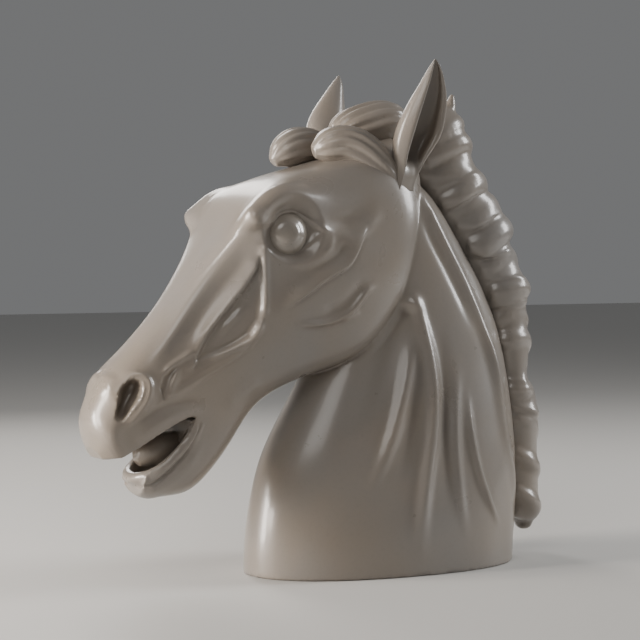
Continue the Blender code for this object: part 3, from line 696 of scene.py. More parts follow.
def neck_strokes(clay, on_neck):
    """Long muscles and folds down the sides of the neck."""
    y, z = clay.points[:, 1], clay.points[:, 2]
    normal = clay.normals()
    side = np.clip((np.abs(normal[:, 0]) - 0.2) / 0.4, 0, 1) * on_neck
    main = [(16, 322), (30, 268), (37, 211), (31, 163), (19, 115), (9, 60), (6, 10)]
    move = stroke(y, z, main, 6.5, 8.5, (0.06, 0.3))
    move += stroke(y, z, [(4, 310), (-14, 256), (-36, 206), (-62, 156), (-84, 112)], -6.5, 18, (0.05, 0.75))
    move += stroke(y, z, [(22, 286), (8, 232), (-12, 176), (-38, 122), (-62, 82)], 5.5, 8.0, (0.35, 0.4))
    move += stroke(y, z, [(24, 250), (14, 196), (-2, 140), (-24, 86)], -3.5, 9, (0.45, 0.5))
    move += stroke(y, z, [(76, 250), (64, 182), (60, 130), (63, 80), (70, 30)], 4.8, 6.5, (0.45, 0.4))
    move += stroke(y, z, [(50, 300), (53, 220), (49, 140), (46, 60)], -3.0, 9.0, (0.4, 0.5))
    move += stroke(y, z, [(84, 214), (84, 168), (88, 130), (101, 88), (128, 42)], 4.4, 4.4, (0.4, 0.3))
    move += stroke(y, z, [(110, 290), (129, 233), (140, 167), (158, 104), (170, 56)], 3.2, 7)
    crest = [(30, 436), (50, 402), (72, 364), (94, 325), (113, 284), (130, 240), (143, 192), (152, 144)]
    move += stroke(y, z, crest, 3.6, 7.0, (0.05, 0.3))
    move += stroke(y, z, [(20, 424), (40, 388), (62, 350), (84, 310), (102, 268)], -1.8, 6.0, (0.1, 0.3))
    clay.push(move * side)


def from_forms(clay):
    """How far each point lies from the plain head and from the plain neck."""
    to_head = distance_to(head_rings(60, 60), clay.points)
    return to_head, distance_to(neck_rings(50, 60), clay.points)


def make_bust():
    clay = sculpt_bust()
    to_head, to_neck = from_forms(clay)
    near = np.clip(1.4 - (np.abs(to_head) + np.abs(to_neck)) / 14, 0, 1)
    s, h = clay.head_plane()
    chin = eased((s - 432) / 6) * eased((-66 - h) / 6)
    clay.melt(24, near * np.clip((clay.points[:, 2] - 290) / 60, 0.06, 1))
    clay.melt(60, chin)
    s, h = clay.head_plane()
    x = np.abs(clay.points[:, 0])
    mirrored = np.column_stack([x, clay.points[:, 1:]])
    # Small details need a finer mesh.
    eye = np.linalg.norm(mirrored - EYE_CENTRE, axis=1)
    muzzle = (s > 344) & (h > -90) & (h < 40) & (x > 6) & (np.abs(to_head) < 5)
    leaf = (s > 196) & (s < 344) & (h > -30) & (h < 60) & (x > 30) & (np.abs(to_head) < 3)
    cheek = (s > 84) & (s < 250) & (h > -72) & (h < 0) & (x > 30) & (np.abs(to_head) < 3) & (to_neck > 14)
    finer(clay, (eye < 44) | muzzle | leaf | cheek)

    s, h = clay.head_plane()
    x = np.abs(clay.points[:, 0])
    side = np.clip((np.abs(clay.normals()[:, 0]) - 0.12) / 0.34, 0, 1) * (x > 8)
    to_head, to_neck = from_forms(clay)
    skin = eased(1.6 - np.abs(to_head) / 5)
    move = (eye_strokes(s, h) + face_strokes(s, h)) * side * skin
    move += muzzle_strokes(s, h) * skin * (x > 3)
    clay.push(move * (s > -10))
    # The knob of bone at the front of the brow stands out to the side and a little up.
    knob = 7.5 * np.exp(-(((s - 184) / 17) ** 2 + ((h - 91) / 17) ** 2)) * eased((x - 40) / 18)
    clay.points += np.outer(knob, [0, *(0.35 * ABOVE)])
    clay.points[:, 0] += 0.9 * knob * np.sign(clay.points[:, 0])
    neck_strokes(clay, np.clip((to_head - to_neck) / 12, 0, 1))
    clay.smooth(3)
    clay.points[:, 2] = np.maximum(clay.points[:, 2], 0)
    clay.write()
    seam = to_head - to_neck
    for _ in range(6):
        seam = clay.spread(seam)
    return clay, seam


def creases(clay):
    """How deep in a fold each point lies, from -1 on a ridge to 1 in a groove."""
    wide = clay.points
    for _ in range(10):
        wide = clay.spread(wide)
    depth = ((wide - clay.points) * clay.normals()).sum(axis=1) / 0.9
    for _ in range(7):
        depth = clay.spread(depth)
    return np.clip(depth, -1, 1)


def part_of(clay, name, chosen, inside, fold_shade):
    """The chosen faces of the clay as a closed piece: its edge is carried in towards a point."""
    around, start, total, owner = face_corners(clay.obj.data)
    count = len(clay.points)
    following = np.arange(len(around)) + 1
    last = start + total - 1
    following[last] = start
    begin, end = around.astype(np.int64), around[following].astype(np.int64)

    chosen = biggest_patch(chosen, owner, begin, end, count)
    kept = chosen[owner]
    ahead, behind = begin[kept] * count + end[kept], end[kept] * count + begin[kept]
    open_edge = ~np.isin(ahead, behind)
    rim_from, rim_to = begin[kept][open_edge], end[kept][open_edge]

    used = np.unique(around[kept])
    number = np.full(count, -1)
    number[used] = np.arange(len(used))
    faces = [number[around[a : a + n]].tolist() for a, n in zip(start[chosen], total[chosen])]
    rim = np.unique(np.concatenate([rim_from, rim_to]))
    inner = np.full(count, -1)
    inner[rim] = len(used) + np.arange(len(rim))
    way = np.asarray(inside, float) - clay.points[rim]
    length = np.linalg.norm(way, axis=1, keepdims=True)
    inner_points = clay.points[rim] + way / length * np.minimum(7, length / 2)
    centre = len(used) + len(rim)
    for a, b in zip(rim_from, rim_to):
        faces.append([number[b], number[a], inner[a], inner[b]])
        faces.append([inner[b], inner[a], centre])
    points = np.vstack([clay.points[used], inner_points, [inside]]) * MM
    made = bpy.data.meshes.new(name)
    made.from_pydata(points.tolist(), [], faces)
    made.shade_smooth()
    normals = np.zeros((len(points), 3))
    normals[: len(used)] = clay.normals()[used]
    made.normals_split_custom_set_from_vertices(normals.tolist())
    # The depth of the folds goes with the piece, for the painted shade in the glaze.
    store_creases(made, np.concatenate([fold_shade[used], np.zeros(len(points) - len(used))]))
    return object_of(name, made)


def biggest_patch(chosen, owner, begin, end, count):
    """Of the chosen faces, those that hang together in the largest patch."""
    kept = chosen[owner]
    keys = np.minimum(begin, end)[kept] * count + np.maximum(begin, end)[kept]
    faces = owner[kept]
    order = np.argsort(keys, kind="stable")
    keys, faces = keys[order], faces[order]
    same = keys[1:] == keys[:-1]
    one, other = faces[:-1][same], faces[1:][same]
    label = np.arange(len(chosen))
    for _ in range(400):
        low = np.minimum(label[one], label[other])
        fresh = label.copy()
        np.minimum.at(fresh, one, low)
        np.minimum.at(fresh, other, low)
        fresh = fresh[fresh]
        if (fresh == label).all():
            break
        label = fresh
    sizes = np.bincount(label[chosen], minlength=len(chosen))
    return chosen & (label == sizes.argmax())


def face_means(clay, values):
    """Mean of a point value over each face."""
    around, _, total, owner = face_corners(clay.obj.data)
    return np.bincount(owner, values[around], len(total)) / total


# ---------------------------------------------------------------- hair by geometry nodes


def link(tree, from_socket, to_socket):
    tree.links.new(from_socket, to_socket)


def worked_out(tree, kind, operation, *inputs):
    """The result of a math node whose inputs are sockets or numbers."""
    node = tree.nodes.new(kind)
    node.operation = operation
    for given, socket in zip(inputs, node.inputs):
        if isinstance(given, bpy.types.NodeSocket):
            link(tree, given, socket)
        else:
            socket.default_value = given
    return node.outputs[0]


def hair_tree():
    """Sweeps a fluted, flattened round along every curve, as thick as the curve's own radius."""
    tree = bpy.data.node_groups.new("hair_lock", "GeometryNodeTree")
    face = tree.interface
    face.new_socket("Curves", in_out="INPUT", socket_type="NodeSocketGeometry")
    sockets = {}
    for label, kind, value in (
        ("Flatness", "NodeSocketFloat", 0.8),
        ("Flutes", "NodeSocketFloat", 7.0),
        ("Flute Depth", "NodeSocketFloat", 0.06),
    ):
        sockets[label] = face.new_socket(label, in_out="INPUT", socket_type=kind)
        sockets[label].default_value = value
    sockets["Material"] = face.new_socket("Material", in_out="INPUT", socket_type="NodeSocketMaterial")
    face.new_socket("Hair", in_out="OUTPUT", socket_type="NodeSocketGeometry")
    add = tree.nodes.new
    given, result = add("NodeGroupInput"), add("NodeGroupOutput")
    circle = add("GeometryNodeCurvePrimitiveCircle")
    circle.inputs["Resolution"].default_value = 40
    circle.inputs["Radius"].default_value = 1
    place, parts = add("GeometryNodeInputPosition"), add("ShaderNodeSeparateXYZ")
    link(tree, place.outputs[0], parts.inputs[0])
    flutes = given.outputs["Flutes"], given.outputs["Flute Depth"]
    angle = worked_out(tree, "ShaderNodeMath", "ARCTAN2", parts.outputs["Y"], parts.outputs["X"])
    turns = worked_out(tree, "ShaderNodeMath", "MULTIPLY", angle, flutes[0])
    wave = worked_out(tree, "ShaderNodeMath", "COSINE", turns)
    size = worked_out(tree, "ShaderNodeMath", "MULTIPLY_ADD", wave, flutes[1], 1)
    flat = worked_out(tree, "ShaderNodeMath", "MULTIPLY", size, given.outputs["Flatness"])
    both = add("ShaderNodeCombineXYZ")
    link(tree, flat, both.inputs["X"])
    link(tree, size, both.inputs["Y"])
    scaled_place = worked_out(tree, "ShaderNodeVectorMath", "MULTIPLY", place.outputs[0], both.outputs[0])
    shaped = add("GeometryNodeSetPosition")
    link(tree, circle.outputs["Curve"], shaped.inputs["Geometry"])
    link(tree, scaled_place, shaped.inputs["Position"])
    radius, sweep = add("GeometryNodeInputRadius"), add("GeometryNodeCurveToMesh")
    link(tree, given.outputs["Curves"], sweep.inputs["Curve"])
    link(tree, shaped.outputs[0], sweep.inputs["Profile Curve"])
    link(tree, radius.outputs[0], sweep.inputs["Scale"])
    sweep.inputs["Fill Caps"].default_value = True
    real, dressed = add("GeometryNodeRealizeInstances"), add("GeometryNodeSetMaterial")
    link(tree, sweep.outputs[0], real.inputs[0])
    link(tree, real.outputs[0], dressed.inputs["Geometry"])
    link(tree, given.outputs["Material"], dressed.inputs["Material"])
    link(tree, dressed.outputs[0], result.inputs[0])
    return tree, {label: socket.identifier for label, socket in sockets.items()}


def swept_hair(name, paths, tree, names, flatness, flutes, depth, material):
    """Runs the hair tree over smooth curves given as x, y, z, radius, and returns a plain mesh."""
    data = bpy.data.curves.new(name, "CURVE")
    data.dimensions = "3D"
    data.twist_mode = "Z_UP"
    for path in paths:
        rows = smooth_line(path, 40)
        spline = data.splines.new("POLY")
        spline.points.add(len(rows) - 1)
        for point, (x, y, z, radius) in zip(spline.points, rows):
            point.co = (x * MM, y * MM, z * MM, 1)
            point.radius = max(radius, 0.4) * MM
    obj = bpy.data.objects.new(name, data)
    bpy.context.scene.collection.objects.link(obj)
    modifier = obj.modifiers.new("hair_lock", "NODES")
    modifier.node_group = tree
    modifier[names["Flatness"]] = flatness
    modifier[names["Flutes"]] = flutes
    modifier[names["Flute Depth"]] = depth
    modifier[names["Material"]] = material
    bpy.context.view_layer.update()
    graph = bpy.context.evaluated_depsgraph_get()
    mesh = bpy.data.meshes.new_from_object(obj.evaluated_get(graph))
    bpy.data.objects.remove(obj)
    bpy.data.curves.remove(data)
    mesh.name = name
    return object_of(name, mesh)


def swept_rings(sections, stations=60, around=48, size=1.0):
    """Ovals along a path: x, y, z, half width across the path, half height."""
    rows = smooth_line(sections, stations)
    path = rows[:, :3]
    heading = np.gradient(path, axis=0)
    heading /= np.linalg.norm(heading, axis=1, keepdims=True)
    across = np.cross(heading, (0, 0, 1))
    across /= np.linalg.norm(across, axis=1, keepdims=True)
    top = np.cross(across, heading)
    angles = 2 * math.pi * np.arange(around) / around
    wide = size * rows[:, 3][:, None, None] * np.cos(angles)[None, :, None] * across[:, None]
    high = size * rows[:, 4][:, None, None] * np.sin(angles)[None, :, None] * top[:, None]
    return path[:, None] + wide + high


def strands_over(sections, degrees, thick, turn=0.0):
    """Thin strands that follow an oval sweep along its skin, at the given places round it."""
    stations, around = 16, 72
    rings = swept_rings(sections, stations, around, 0.80)
    rows = smooth_line(sections, stations)
    strands = []
    for degree in degrees:
        path = []
        for i, ring in enumerate(rings):
            share = i / (len(rings) - 1)
            at = (degree + turn * share) / 360 * around
            low = int(math.floor(at))
            point = ring[low % around] * (1 - (at - low)) + ring[(low + 1) % around] * (at - low)
            ends = min(1.0, 0.35 + 4 * min(share, 1 - share))
            path.append((*point, min(rows[i, 3], rows[i, 4]) * thick * ends))
        strands.append(path)
    return strands


def forelock(name, sections, degrees, thick, turn):
    """One lock: a swept core with strands laid over it, rounded together."""
    core = loft(f"{name}_core", swept_rings(sections, size=0.95))
    paths = strands_over(sections, degrees, thick, turn)
    strands = swept_hair(f"{name}_strands", paths, hair_nodes, hair_names, 0.9, 5.0, 0.04, moulding)
    clay = Clay(rounded(joined(name, core, strands), 1.5))
    clay.smooth(14)
    clay.write()
    return clay


def whole(clay, name, painted_shade=0.0):
    """All of a clay body as one piece, with painted shade in its folds and where asked."""
    mesh = clay.obj.data
    mesh.shade_smooth()
    # Fold depth plus any extra painted shade, stored for the glaze to darken.
    store_creases(mesh, np.clip(creases(clay) + painted_shade, -1, 1))
    clay.obj.name = mesh.name = name
    return clay.obj


def mane_core():
    """The thickness of the mane under its folds, as one long saddle."""
    rows = np.array([(*inner, *outer, wide) for inner, outer, wide in MANE_LINE], float)
    rows = curve_through(np.arange(len(rows)), rows, np.linspace(0.3, len(rows) - 1.25, 80))
    angles = 2 * math.pi * np.arange(48) / 48
    rings = []
    for y_in, z_in, y_out, z_out, wide in rows:
        inner, outer = np.array([y_in, z_in]), np.array([y_out, z_out])
        way = (outer - inner) / np.linalg.norm(outer - inner)
        inner = inner - way * 10
        outer = outer - way * MANE_INSET
        middle, reach = (inner + outer) / 2, np.linalg.norm(outer - inner) / 2
        plane = middle + (reach * np.cos(angles))[:, None] * way
        across = np.sign(np.sin(angles)) * np.abs(np.sin(angles)) ** 0.7
        rings.append(np.column_stack([(wide - 1) * across, plane]))
    return loft("mane_core", np.array(rings))


def folds_over(fold, high, tree):
    """A fold from one side of the neck over the crest to the other, half sunk in the core."""
    path = []
    for x, y, z, radius in fold + [(-x, y, z, radius) for x, y, z, radius in fold[-2::-1]]:
        place, normal, _, _ = tree.find_nearest(Vector((x, y, z)) * MM)
        proud = high * (1 + 0.35 * (1 - min(abs(x) / 16, 1)))
        middle = np.array(place) / MM - np.array(normal) * (radius - proud)
        path.append((*middle, radius))
    return path


def make_mane():
    core = mane_core()
    tree = tree_of(core.data)
    paths = [folds_over(fold, high, tree) for fold, high in zip(MANE_FOLDS, MANE_HEIGHTS)]
    paths.append(MANE_TUFT)
    folds = swept_hair("mane_folds", paths, hair_nodes, hair_names, 1.0, 5.0, 0.02, moulding)
    clay = Clay(rounded(joined("mane", core, folds), 1.9))
    clay.melt(12, np.ones(len(clay.points)))
    clay.smooth(10)
    y, z = clay.points[:, 1], clay.points[:, 2]
    move = np.zeros(len(y))
    for line, height, width in MANE_STEPS:
        move += ledge(y, z, line, height, width * 2.4, (0.3, 0.3), 2.2)
    clay.push(move)
    clay.smooth(6)
    clay.write()
    return clay


def mane_middle(place):
    """The middle of the mane's thickness at a place down the crest."""
    rows = [(*inner, *outer) for inner, outer, _ in MANE_LINE]
    y_in, z_in, y_out, z_out = curve_through(np.arange(len(rows)), rows, [place])[0]
    return 0, (y_in + y_out) / 2, (z_in + z_out) / 2


def mane_places(clay):
    """How far down the crest each point lies, in steps of the mane's line."""
    plane = clay.points[:, 1:]
    best, at = np.full(len(plane), 1e9), np.zeros(len(plane))
    rows = np.array([(*inner, *outer) for inner, outer, _ in MANE_LINE], float)
    places = np.linspace(0, len(rows) - 1, 151)
    for place, (y_in, z_in, y_out, z_out) in zip(places, curve_through(np.arange(len(rows)), rows, places)):
        far, _, _ = away(plane[:, 0], plane[:, 1], [(y_in, z_in), (y_out, z_out)])
        near = far < best
        best, at = np.where(near, far, best), np.where(near, place, at)
    for _ in range(40):
        at = clay.spread(at)
    return at


# ---------------------------------------------------------------- ears, eyes, tongue


def ear_rings(path, side):
    """A cupped shell whose hollow turns outwards; it closes to a stem at the bottom."""
    rows = smooth_line(path, 70)
    rows = rows[np.concatenate([[True], np.diff(rows[:, 2]) > 0])]
    along = np.array([-math.sin(EAR_TURN) * side, math.cos(EAR_TURN)])
    opening = np.array([math.cos(EAR_TURN) * side, math.sin(EAR_TURN)])
    bottom, top = rows[0, 2], rows[-1, 2]
    rings = []
    for x, y, z, half in rows:
        cupped = eased((z - bottom - 14) / 34)
        slim = 1 - 0.25 * eased((z - bottom) / (top - bottom))
        outside = np.array(EAR_OUTSIDE) * (half, half * slim)
        inside = np.array(EAR_INSIDE) * (half, half * slim)
        chord = 0.16 * half
        inside[:, 1] = chord + (inside[:, 1] - chord) * cupped
        outline = even_ring(np.vstack([outside, inside]), 96)
        plane = np.array([x, y]) + outline[:, :1] * along + outline[:, 1:] * opening
        rings.append(np.column_stack([plane, np.full(len(plane), z)]))
    return np.array(rings)


def make_ear(name, path, side):
    """A shell with painted shade in its hollow."""
    rings = ear_rings(path, side)
    clay = Clay(loft(name, rings))
    around = rings.shape[1]
    span = np.linspace(0, 1, around, endpoint=False)
    level = np.linspace(0, 1, len(rings))[:, None]
    hollow_share = eased((span - 0.56) / 0.05) * eased((0.97 - span) / 0.05) * eased((level - 0.16) / 0.12)
    # Painted shade inside the hollow of the ear, fading in from its rims and from the stem.
    painted_shade = np.zeros(len(clay.points))
    painted_shade[: hollow_share.size] = hollow_share.ravel()[: len(painted_shade)]
    clay.smooth(4)
    clay.write()
    return whole(clay, name, 1.2 * painted_shade)


def make_eye(name, side):
    """A ball with the clear front of the eye standing slightly proud."""
    centre = np.array(EYE_CENTRE, float) * (side, 1, 1)
    obj = ball(name, centre, EYE_RADIUS, 96)
    clay = Clay(obj)
    out = (clay.points - centre) / EYE_RADIUS
    gaze = np.array([side * 0.93, -0.34, 0.05])
    gaze /= np.linalg.norm(gaze)
    off = np.degrees(np.arccos(np.clip(out @ gaze, -1, 1)))
    bulge = 0.9 * eased((33 - off) / 5) - 0.5 * eased((24 - off) / 20)
    clay.points += out * bulge[:, None]
    clay.write()
    obj.data.shade_smooth()
    return obj


def make_tongue():
    """A rounded tongue with a furrow down its middle."""
    clay = Clay(loft("tongue_body", oval_rings(TONGUE, 64, 60)))
    s, _ = clay.head_plane()
    x = clay.points[:, 0]
    top = (clay.normals() @ np.array([0, *ABOVE])) > 0.3
    clay.points -= np.outer(1.6 * np.exp(-((x / 3.0) ** 2)) * top * eased((s - 372) / 10), [0, *ABOVE])
    clay.write()
    clay.obj.data.shade_smooth()
    return clay.obj


# ---------------------------------------------------------------- foot: plate, seal, screws and bung


def turned(name, profile, steps=96, closed=False):
    """A profile of (radius, z) points turned about Z."""
    profile = np.array(profile, float)
    angles = 2 * math.pi * np.arange(steps) / steps
    points, faces, rings = [], [], []
    for radius, z in profile:
        if radius == 0:
            rings.append([len(points)] * steps)
            points.append((0, 0, z))
        else:
            rings.append(list(range(len(points), len(points) + steps)))
            points += [(radius * math.cos(a), radius * math.sin(a), z) for a in angles]
    pairs = list(zip(rings, rings[1:])) + ([(rings[-1], rings[0])] if closed else [])
    for low, high in pairs:
        for i in range(steps):
            j = (i + 1) % steps
            loop = [low[i], low[j], high[j], high[i]]
            faces.append([v for k, v in enumerate(loop) if v not in loop[:k]])
    mesh = bpy.data.meshes.new(name)
    mesh.from_pydata((np.array(points, float) * MM).tolist(), [], faces)
    face_out(mesh)
    return object_of(name, mesh)


def moved(obj, x, y, z=0.0):
    obj.data.transform(Matrix.Translation((x * MM, y * MM, z * MM)))
    return obj


def rounded_profile(points, radius, steps=5):
    """Rounds the inner corners of an open (radius, z) profile."""
    points = np.array(points, float)
    line = [tuple(points[0])]
    for before, corner, after in zip(points, points[1:], points[2:]):
        first, second = before - corner, after - corner
        reach = min(radius, np.linalg.norm(first) / 2.2, np.linalg.norm(second) / 2.2)
        start = corner + first / np.linalg.norm(first) * reach
        end = corner + second / np.linalg.norm(second) * reach
        for t in np.linspace(0, 1, steps):
            line.append(tuple((1 - t) ** 2 * start + 2 * t * (1 - t) * corner + t * t * end))
    line.append(tuple(points[-1]))
    return line


def screw_places():
    line = foot_outline(WALL + PLATE_GAP + RING_WIDTH / 2, SCREWS * 2)
    return [tuple(point) for point in line[1::2]]


def make_plate():
    """The plate that closes the foot, with its boss, the filling hole and the screw holes."""
    edge = foot_outline(WALL + PLATE_GAP)
    inward = foot_outline(WALL + PLATE_GAP + 1)
    levels = [(inward, 0.0), (edge, 0.8), (edge, PLATE_THICK - 0.8), (inward, PLATE_THICK)]
    rings = np.array([np.column_stack([line, np.full(len(line), z)]) for line, z in levels])
    plate = loft("plate_body", rings)
    outline = [(0, BOSS_TOP), (BOSS_RADIUS, BOSS_TOP), (BOSS_RADIUS, 1), (0, 1)]
    boss = turned("boss", rounded_profile(outline, 1.2), 96)
    union = plate.modifiers.new("boss", "BOOLEAN")
    union.operation = "UNION"
    union.object = moved(boss, 0, BUNG_Y)
    plate = evaluated(plate)
    discard(boss)
    opening = [(0, 20), (20.5, 20), (20.5, 8), (27.6, 8), (27.6, 0.8), (28.6, -0.2), (28.6, -5), (0, -5)]
    cutters = [moved(turned("filler_hole", opening, 96), 0, BUNG_Y)]
    for number, place in enumerate(screw_places()):
        hole = [(0, 10), (2.5, 10), (2.5, 4.1), (5.2, 1.2), (5.2, -3), (0, -3)]
        cutters.append(moved(turned(f"screw_hole_{number}", hole, 48), *place))
    ribs = []
    for number in range(8):
        angle = math.pi * (number + 0.5) / 4
        reach = np.array([math.cos(angle), math.sin(angle)])
        width = np.array([-math.sin(angle), math.cos(angle)])
        corners = [reach * far + width * half for far, half in ((44, 2), (58, 2), (58, -2), (44, -2))]
        ribs.append(loft(f"mould_mark_{number}", upright(np.array(corners) + (0, BUNG_Y), (-2, 0.7))))
    return softened(cut(plate, *cutters, *ribs), 0.25)


def softened(obj, width, angle=35):
    """Small bevels on the sharp edges."""
    bevel = obj.modifiers.new("edges", "BEVEL")
    bevel.width = width * MM
    bevel.segments = 2
    bevel.limit_method = "ANGLE"
    bevel.angle_limit = math.radians(angle)
    bevel.use_clamp_overlap = True
    made = evaluated(obj)
    shaded(made, 32)
    return made


def shaded(obj, degrees):
    """Smooth shading that keeps the edges sharper than the given angle."""
    obj.data.shade_smooth()
    shape = bmesh.new()
    shape.from_mesh(obj.data)
    limit = math.radians(degrees)
    for edge in shape.edges:
        if len(edge.link_faces) == 2:
            edge.smooth = edge.calc_face_angle(0) < limit
    shape.to_mesh(obj.data)
    shape.free()


def make_bung():
    """The screwed bung: a thread of four millimetres' pitch, a rounded head, a slot for a coin or key."""
    head_top, top = BUNG_HEAD_TOP, BUNG_TOP
    profile = [(0, top), (17.6, top), (18.6, top - 1), (18.6, head_top), (27, head_top), (27, 1), (0, 1)]
    body = turned("bung_body", rounded_profile(profile, 0.8), 96)
    turns, around = (top - 2.2 - head_top - 2.4) / BUNG_PITCH, 96
    count = int(turns * around)
    section = [(17.9, -1.5), (19.9, -0.45), (19.9, 0.45), (17.9, 1.5)]
    rings = []
    for i in range(count + 1):
        angle = 2 * math.pi * i / around
        z = head_top + 2.4 + BUNG_PITCH * i / around
        fade = eased(min(i, count - i) / 20)
        ring = []
        for radius, rise in section:
            radius = 17.9 + (radius - 17.9) * fade
            ring.append((radius * math.cos(angle), radius * math.sin(angle), z + rise * max(fade, 0.1)))
        rings.append(ring)
    thread = loft("bung_thread", np.array(rings))
    slot = loft("key_slot", upright(np.array([(-22, -3), (22, -3), (22, 3), (-22, 3)], float), (-2, 3.6)))
    body = softened(cut(body, slot), 0.3)
    return moved(joined("bung", body, thread), 0, BUNG_Y)


def make_bung_seal():
    """A ring of rubber with rounded edges, pressed between the bung's head and the plate."""
    middle, wide, level, high = (20.6 + 26.6) / 2, 3.0, 6.7, 1.0
    section = []
    for angle in 2 * math.pi * np.arange(20) / 20:
        across, up = np.cos(angle), np.sin(angle)
        section.append((
            middle + wide * np.sign(across) * abs(across) ** 0.5,
            level + high * np.sign(up) * abs(up) ** 0.5,
        ))
    seal = moved(turned("bung_seal_ring", section, 96, closed=True), 0, BUNG_Y)
    seal.data.shade_smooth()
    return seal


def instance_tree():
    """Puts one real copy of a countersunk screw at every point, each turned by its own amount."""
    tree = bpy.data.node_groups.new("foot_screws", "GeometryNodeTree")
    face = tree.interface
    face.new_socket("Places", in_out="INPUT", socket_type="NodeSocketGeometry")
    sockets = {}
    for label, kind in (
        ("Screw", "NodeSocketObject"),
        ("Seed", "NodeSocketInt"),
        ("Material", "NodeSocketMaterial"),
    ):
        sockets[label] = face.new_socket(label, in_out="INPUT", socket_type=kind).identifier
    face.new_socket("Screws", in_out="OUTPUT", socket_type="NodeSocketGeometry")
    add = tree.nodes.new
    given, result = add("NodeGroupInput"), add("NodeGroupOutput")
    chosen, turn = add("GeometryNodeObjectInfo"), add("FunctionNodeRandomValue")
    turn.data_type = "FLOAT"
    turn.inputs["Min"].default_value = 0
    turn.inputs["Max"].default_value = 1.0
    link(tree, given.outputs["Screw"], chosen.inputs["Object"])
    link(tree, given.outputs["Seed"], turn.inputs["Seed"])
    spin = add("ShaderNodeCombineXYZ")
    link(tree, turn.outputs[1], spin.inputs["Z"])
    copies = add("GeometryNodeInstanceOnPoints")
    link(tree, given.outputs["Places"], copies.inputs["Points"])
    link(tree, chosen.outputs["Geometry"], copies.inputs["Instance"])
    link(tree, spin.outputs[0], copies.inputs["Rotation"])
    real, dressed = add("GeometryNodeRealizeInstances"), add("GeometryNodeSetMaterial")
    link(tree, copies.outputs[0], real.inputs[0])
    link(tree, real.outputs[0], dressed.inputs["Geometry"])
    link(tree, given.outputs["Material"], dressed.inputs["Material"])
    link(tree, dressed.outputs[0], result.inputs[0])
    return tree, sockets


def make_screws():
    """Six countersunk screws with a six-sided socket."""
    shank = [(0, 18), (1.4, 18), (2, 17.2)]
    for k in range(18):
        z = 17.0 - 0.7 * k
        shank += [(2.0, z), (1.72, z - 0.35)]
    shank += [(2, 3.9), (4.55, 1.25), (4.6, 0.7), (4.4, 0.5), (0, 0.5)]
    screw = turned("screw_form", shank, 36)
    angles = 2 * math.pi * np.arange(6) / 6
    hexagon = np.column_stack([1.6 * np.cos(angles), 1.6 * np.sin(angles)])
    screw = cut(screw, loft("screw_socket", upright(hexagon, (-1, 2.6))))
    shaded(screw, 30)
    mesh = bpy.data.meshes.new("screw_places")
    mesh.from_pydata([(x * MM, y * MM, 0) for x, y in screw_places()], [], [])
    obj = object_of("foot_screws", mesh)
    tree, names = instance_tree()
    modifier = obj.modifiers.new("foot_screws", "NODES")
    modifier.node_group = tree
    modifier[names["Screw"]] = screw
    modifier[names["Seed"]] = 7
    modifier[names["Material"]] = steel
    obj = evaluated(obj)
    discard(screw)
    return obj


# ---------------------------------------------------------------- materials

TAUPE = (0.235, 0.209, 0.182)


class Look:
    """A principled material built up from noises on object coordinates."""

    def __init__(self, name, colour, roughness, metallic=0.0, coat=0.0, coat_roughness=0.1, specular=0.5):
        self.material = bpy.data.materials.new(name)
        self.material.use_nodes = True
        self.tree = self.material.node_tree
        self.shader = self.tree.nodes["Principled BSDF"]
        self.colour = colour
        self.shader.inputs["Base Color"].default_value = (*colour, 1)
        self.shader.inputs["Roughness"].default_value = roughness
        self.shader.inputs["Metallic"].default_value = metallic
        self.shader.inputs["Specular IOR Level"].default_value = specular
        self.shader.inputs["Coat Weight"].default_value = coat
        self.shader.inputs["Coat Roughness"].default_value = coat_roughness
        self.place = self.tree.nodes.new("ShaderNodeTexCoord")

    def link(self, from_socket, to_socket):
        self.tree.links.new(from_socket, to_socket)

    def noise(self, scale, detail=3.0, roughness=0.5):
        node = self.tree.nodes.new("ShaderNodeTexNoise")
        node.inputs["Scale"].default_value = scale
        node.inputs["Detail"].default_value = detail
        node.inputs["Roughness"].default_value = roughness
        self.link(self.place.outputs["Object"], node.inputs["Vector"])
        return node.outputs["Fac"]

    def ramp(self, factor, stops):
        node = self.tree.nodes.new("ShaderNodeValToRGB")
        elements = node.color_ramp.elements
        while len(elements) < len(stops):
            elements.new(0.5)
        for element, (position, colour) in zip(elements, stops):
            element.position = position
            element.color = (*colour, 1)
        self.link(factor, node.inputs["Fac"])
        return node.outputs["Color"]

    def blend(self, first, second, factor, mode="MULTIPLY", amount=1.0):
        node = self.tree.nodes.new("ShaderNodeMix")
        node.data_type = "RGBA"
        node.blend_type = mode
        if factor is None:
            node.inputs["Factor"].default_value = amount
        else:
            self.link(factor, node.inputs["Factor"])
        self.link(first, node.inputs["A"])
        self.link(second, node.inputs["B"])
        return node.outputs["Result"]

    def between(self, factor, low, high):
        node = self.tree.nodes.new("ShaderNodeMapRange")
        node.inputs["To Min"].default_value = low
        node.inputs["To Max"].default_value = high
        self.link(factor, node.inputs["Value"])
        return node.outputs["Result"]

    def bump(self, height, strength, distance):
        node = self.tree.nodes.new("ShaderNodeBump")
        node.inputs["Strength"].default_value = strength
        node.inputs["Distance"].default_value = distance
        self.link(height, node.inputs["Height"])
        if self.shader.inputs["Normal"].is_linked:
            self.link(self.shader.inputs["Normal"].links[0].from_socket, node.inputs["Normal"])
        self.link(node.outputs["Normal"], self.shader.inputs["Normal"])

    def paint(self, tone):
        self.link(tone, self.shader.inputs["Base Color"])

    def drift(self, factor, low, high):
        """Lets the roughness drift between two values."""
        self.link(self.between(factor, low, high), self.shader.inputs["Roughness"])

    def crease(self):
        node = self.tree.nodes.new("ShaderNodeAttribute")
        node.attribute_name = "crease"
        return node.outputs["Fac"]


def scaled(colour, share):
    return tuple(min(1.0, c * share) for c in colour)


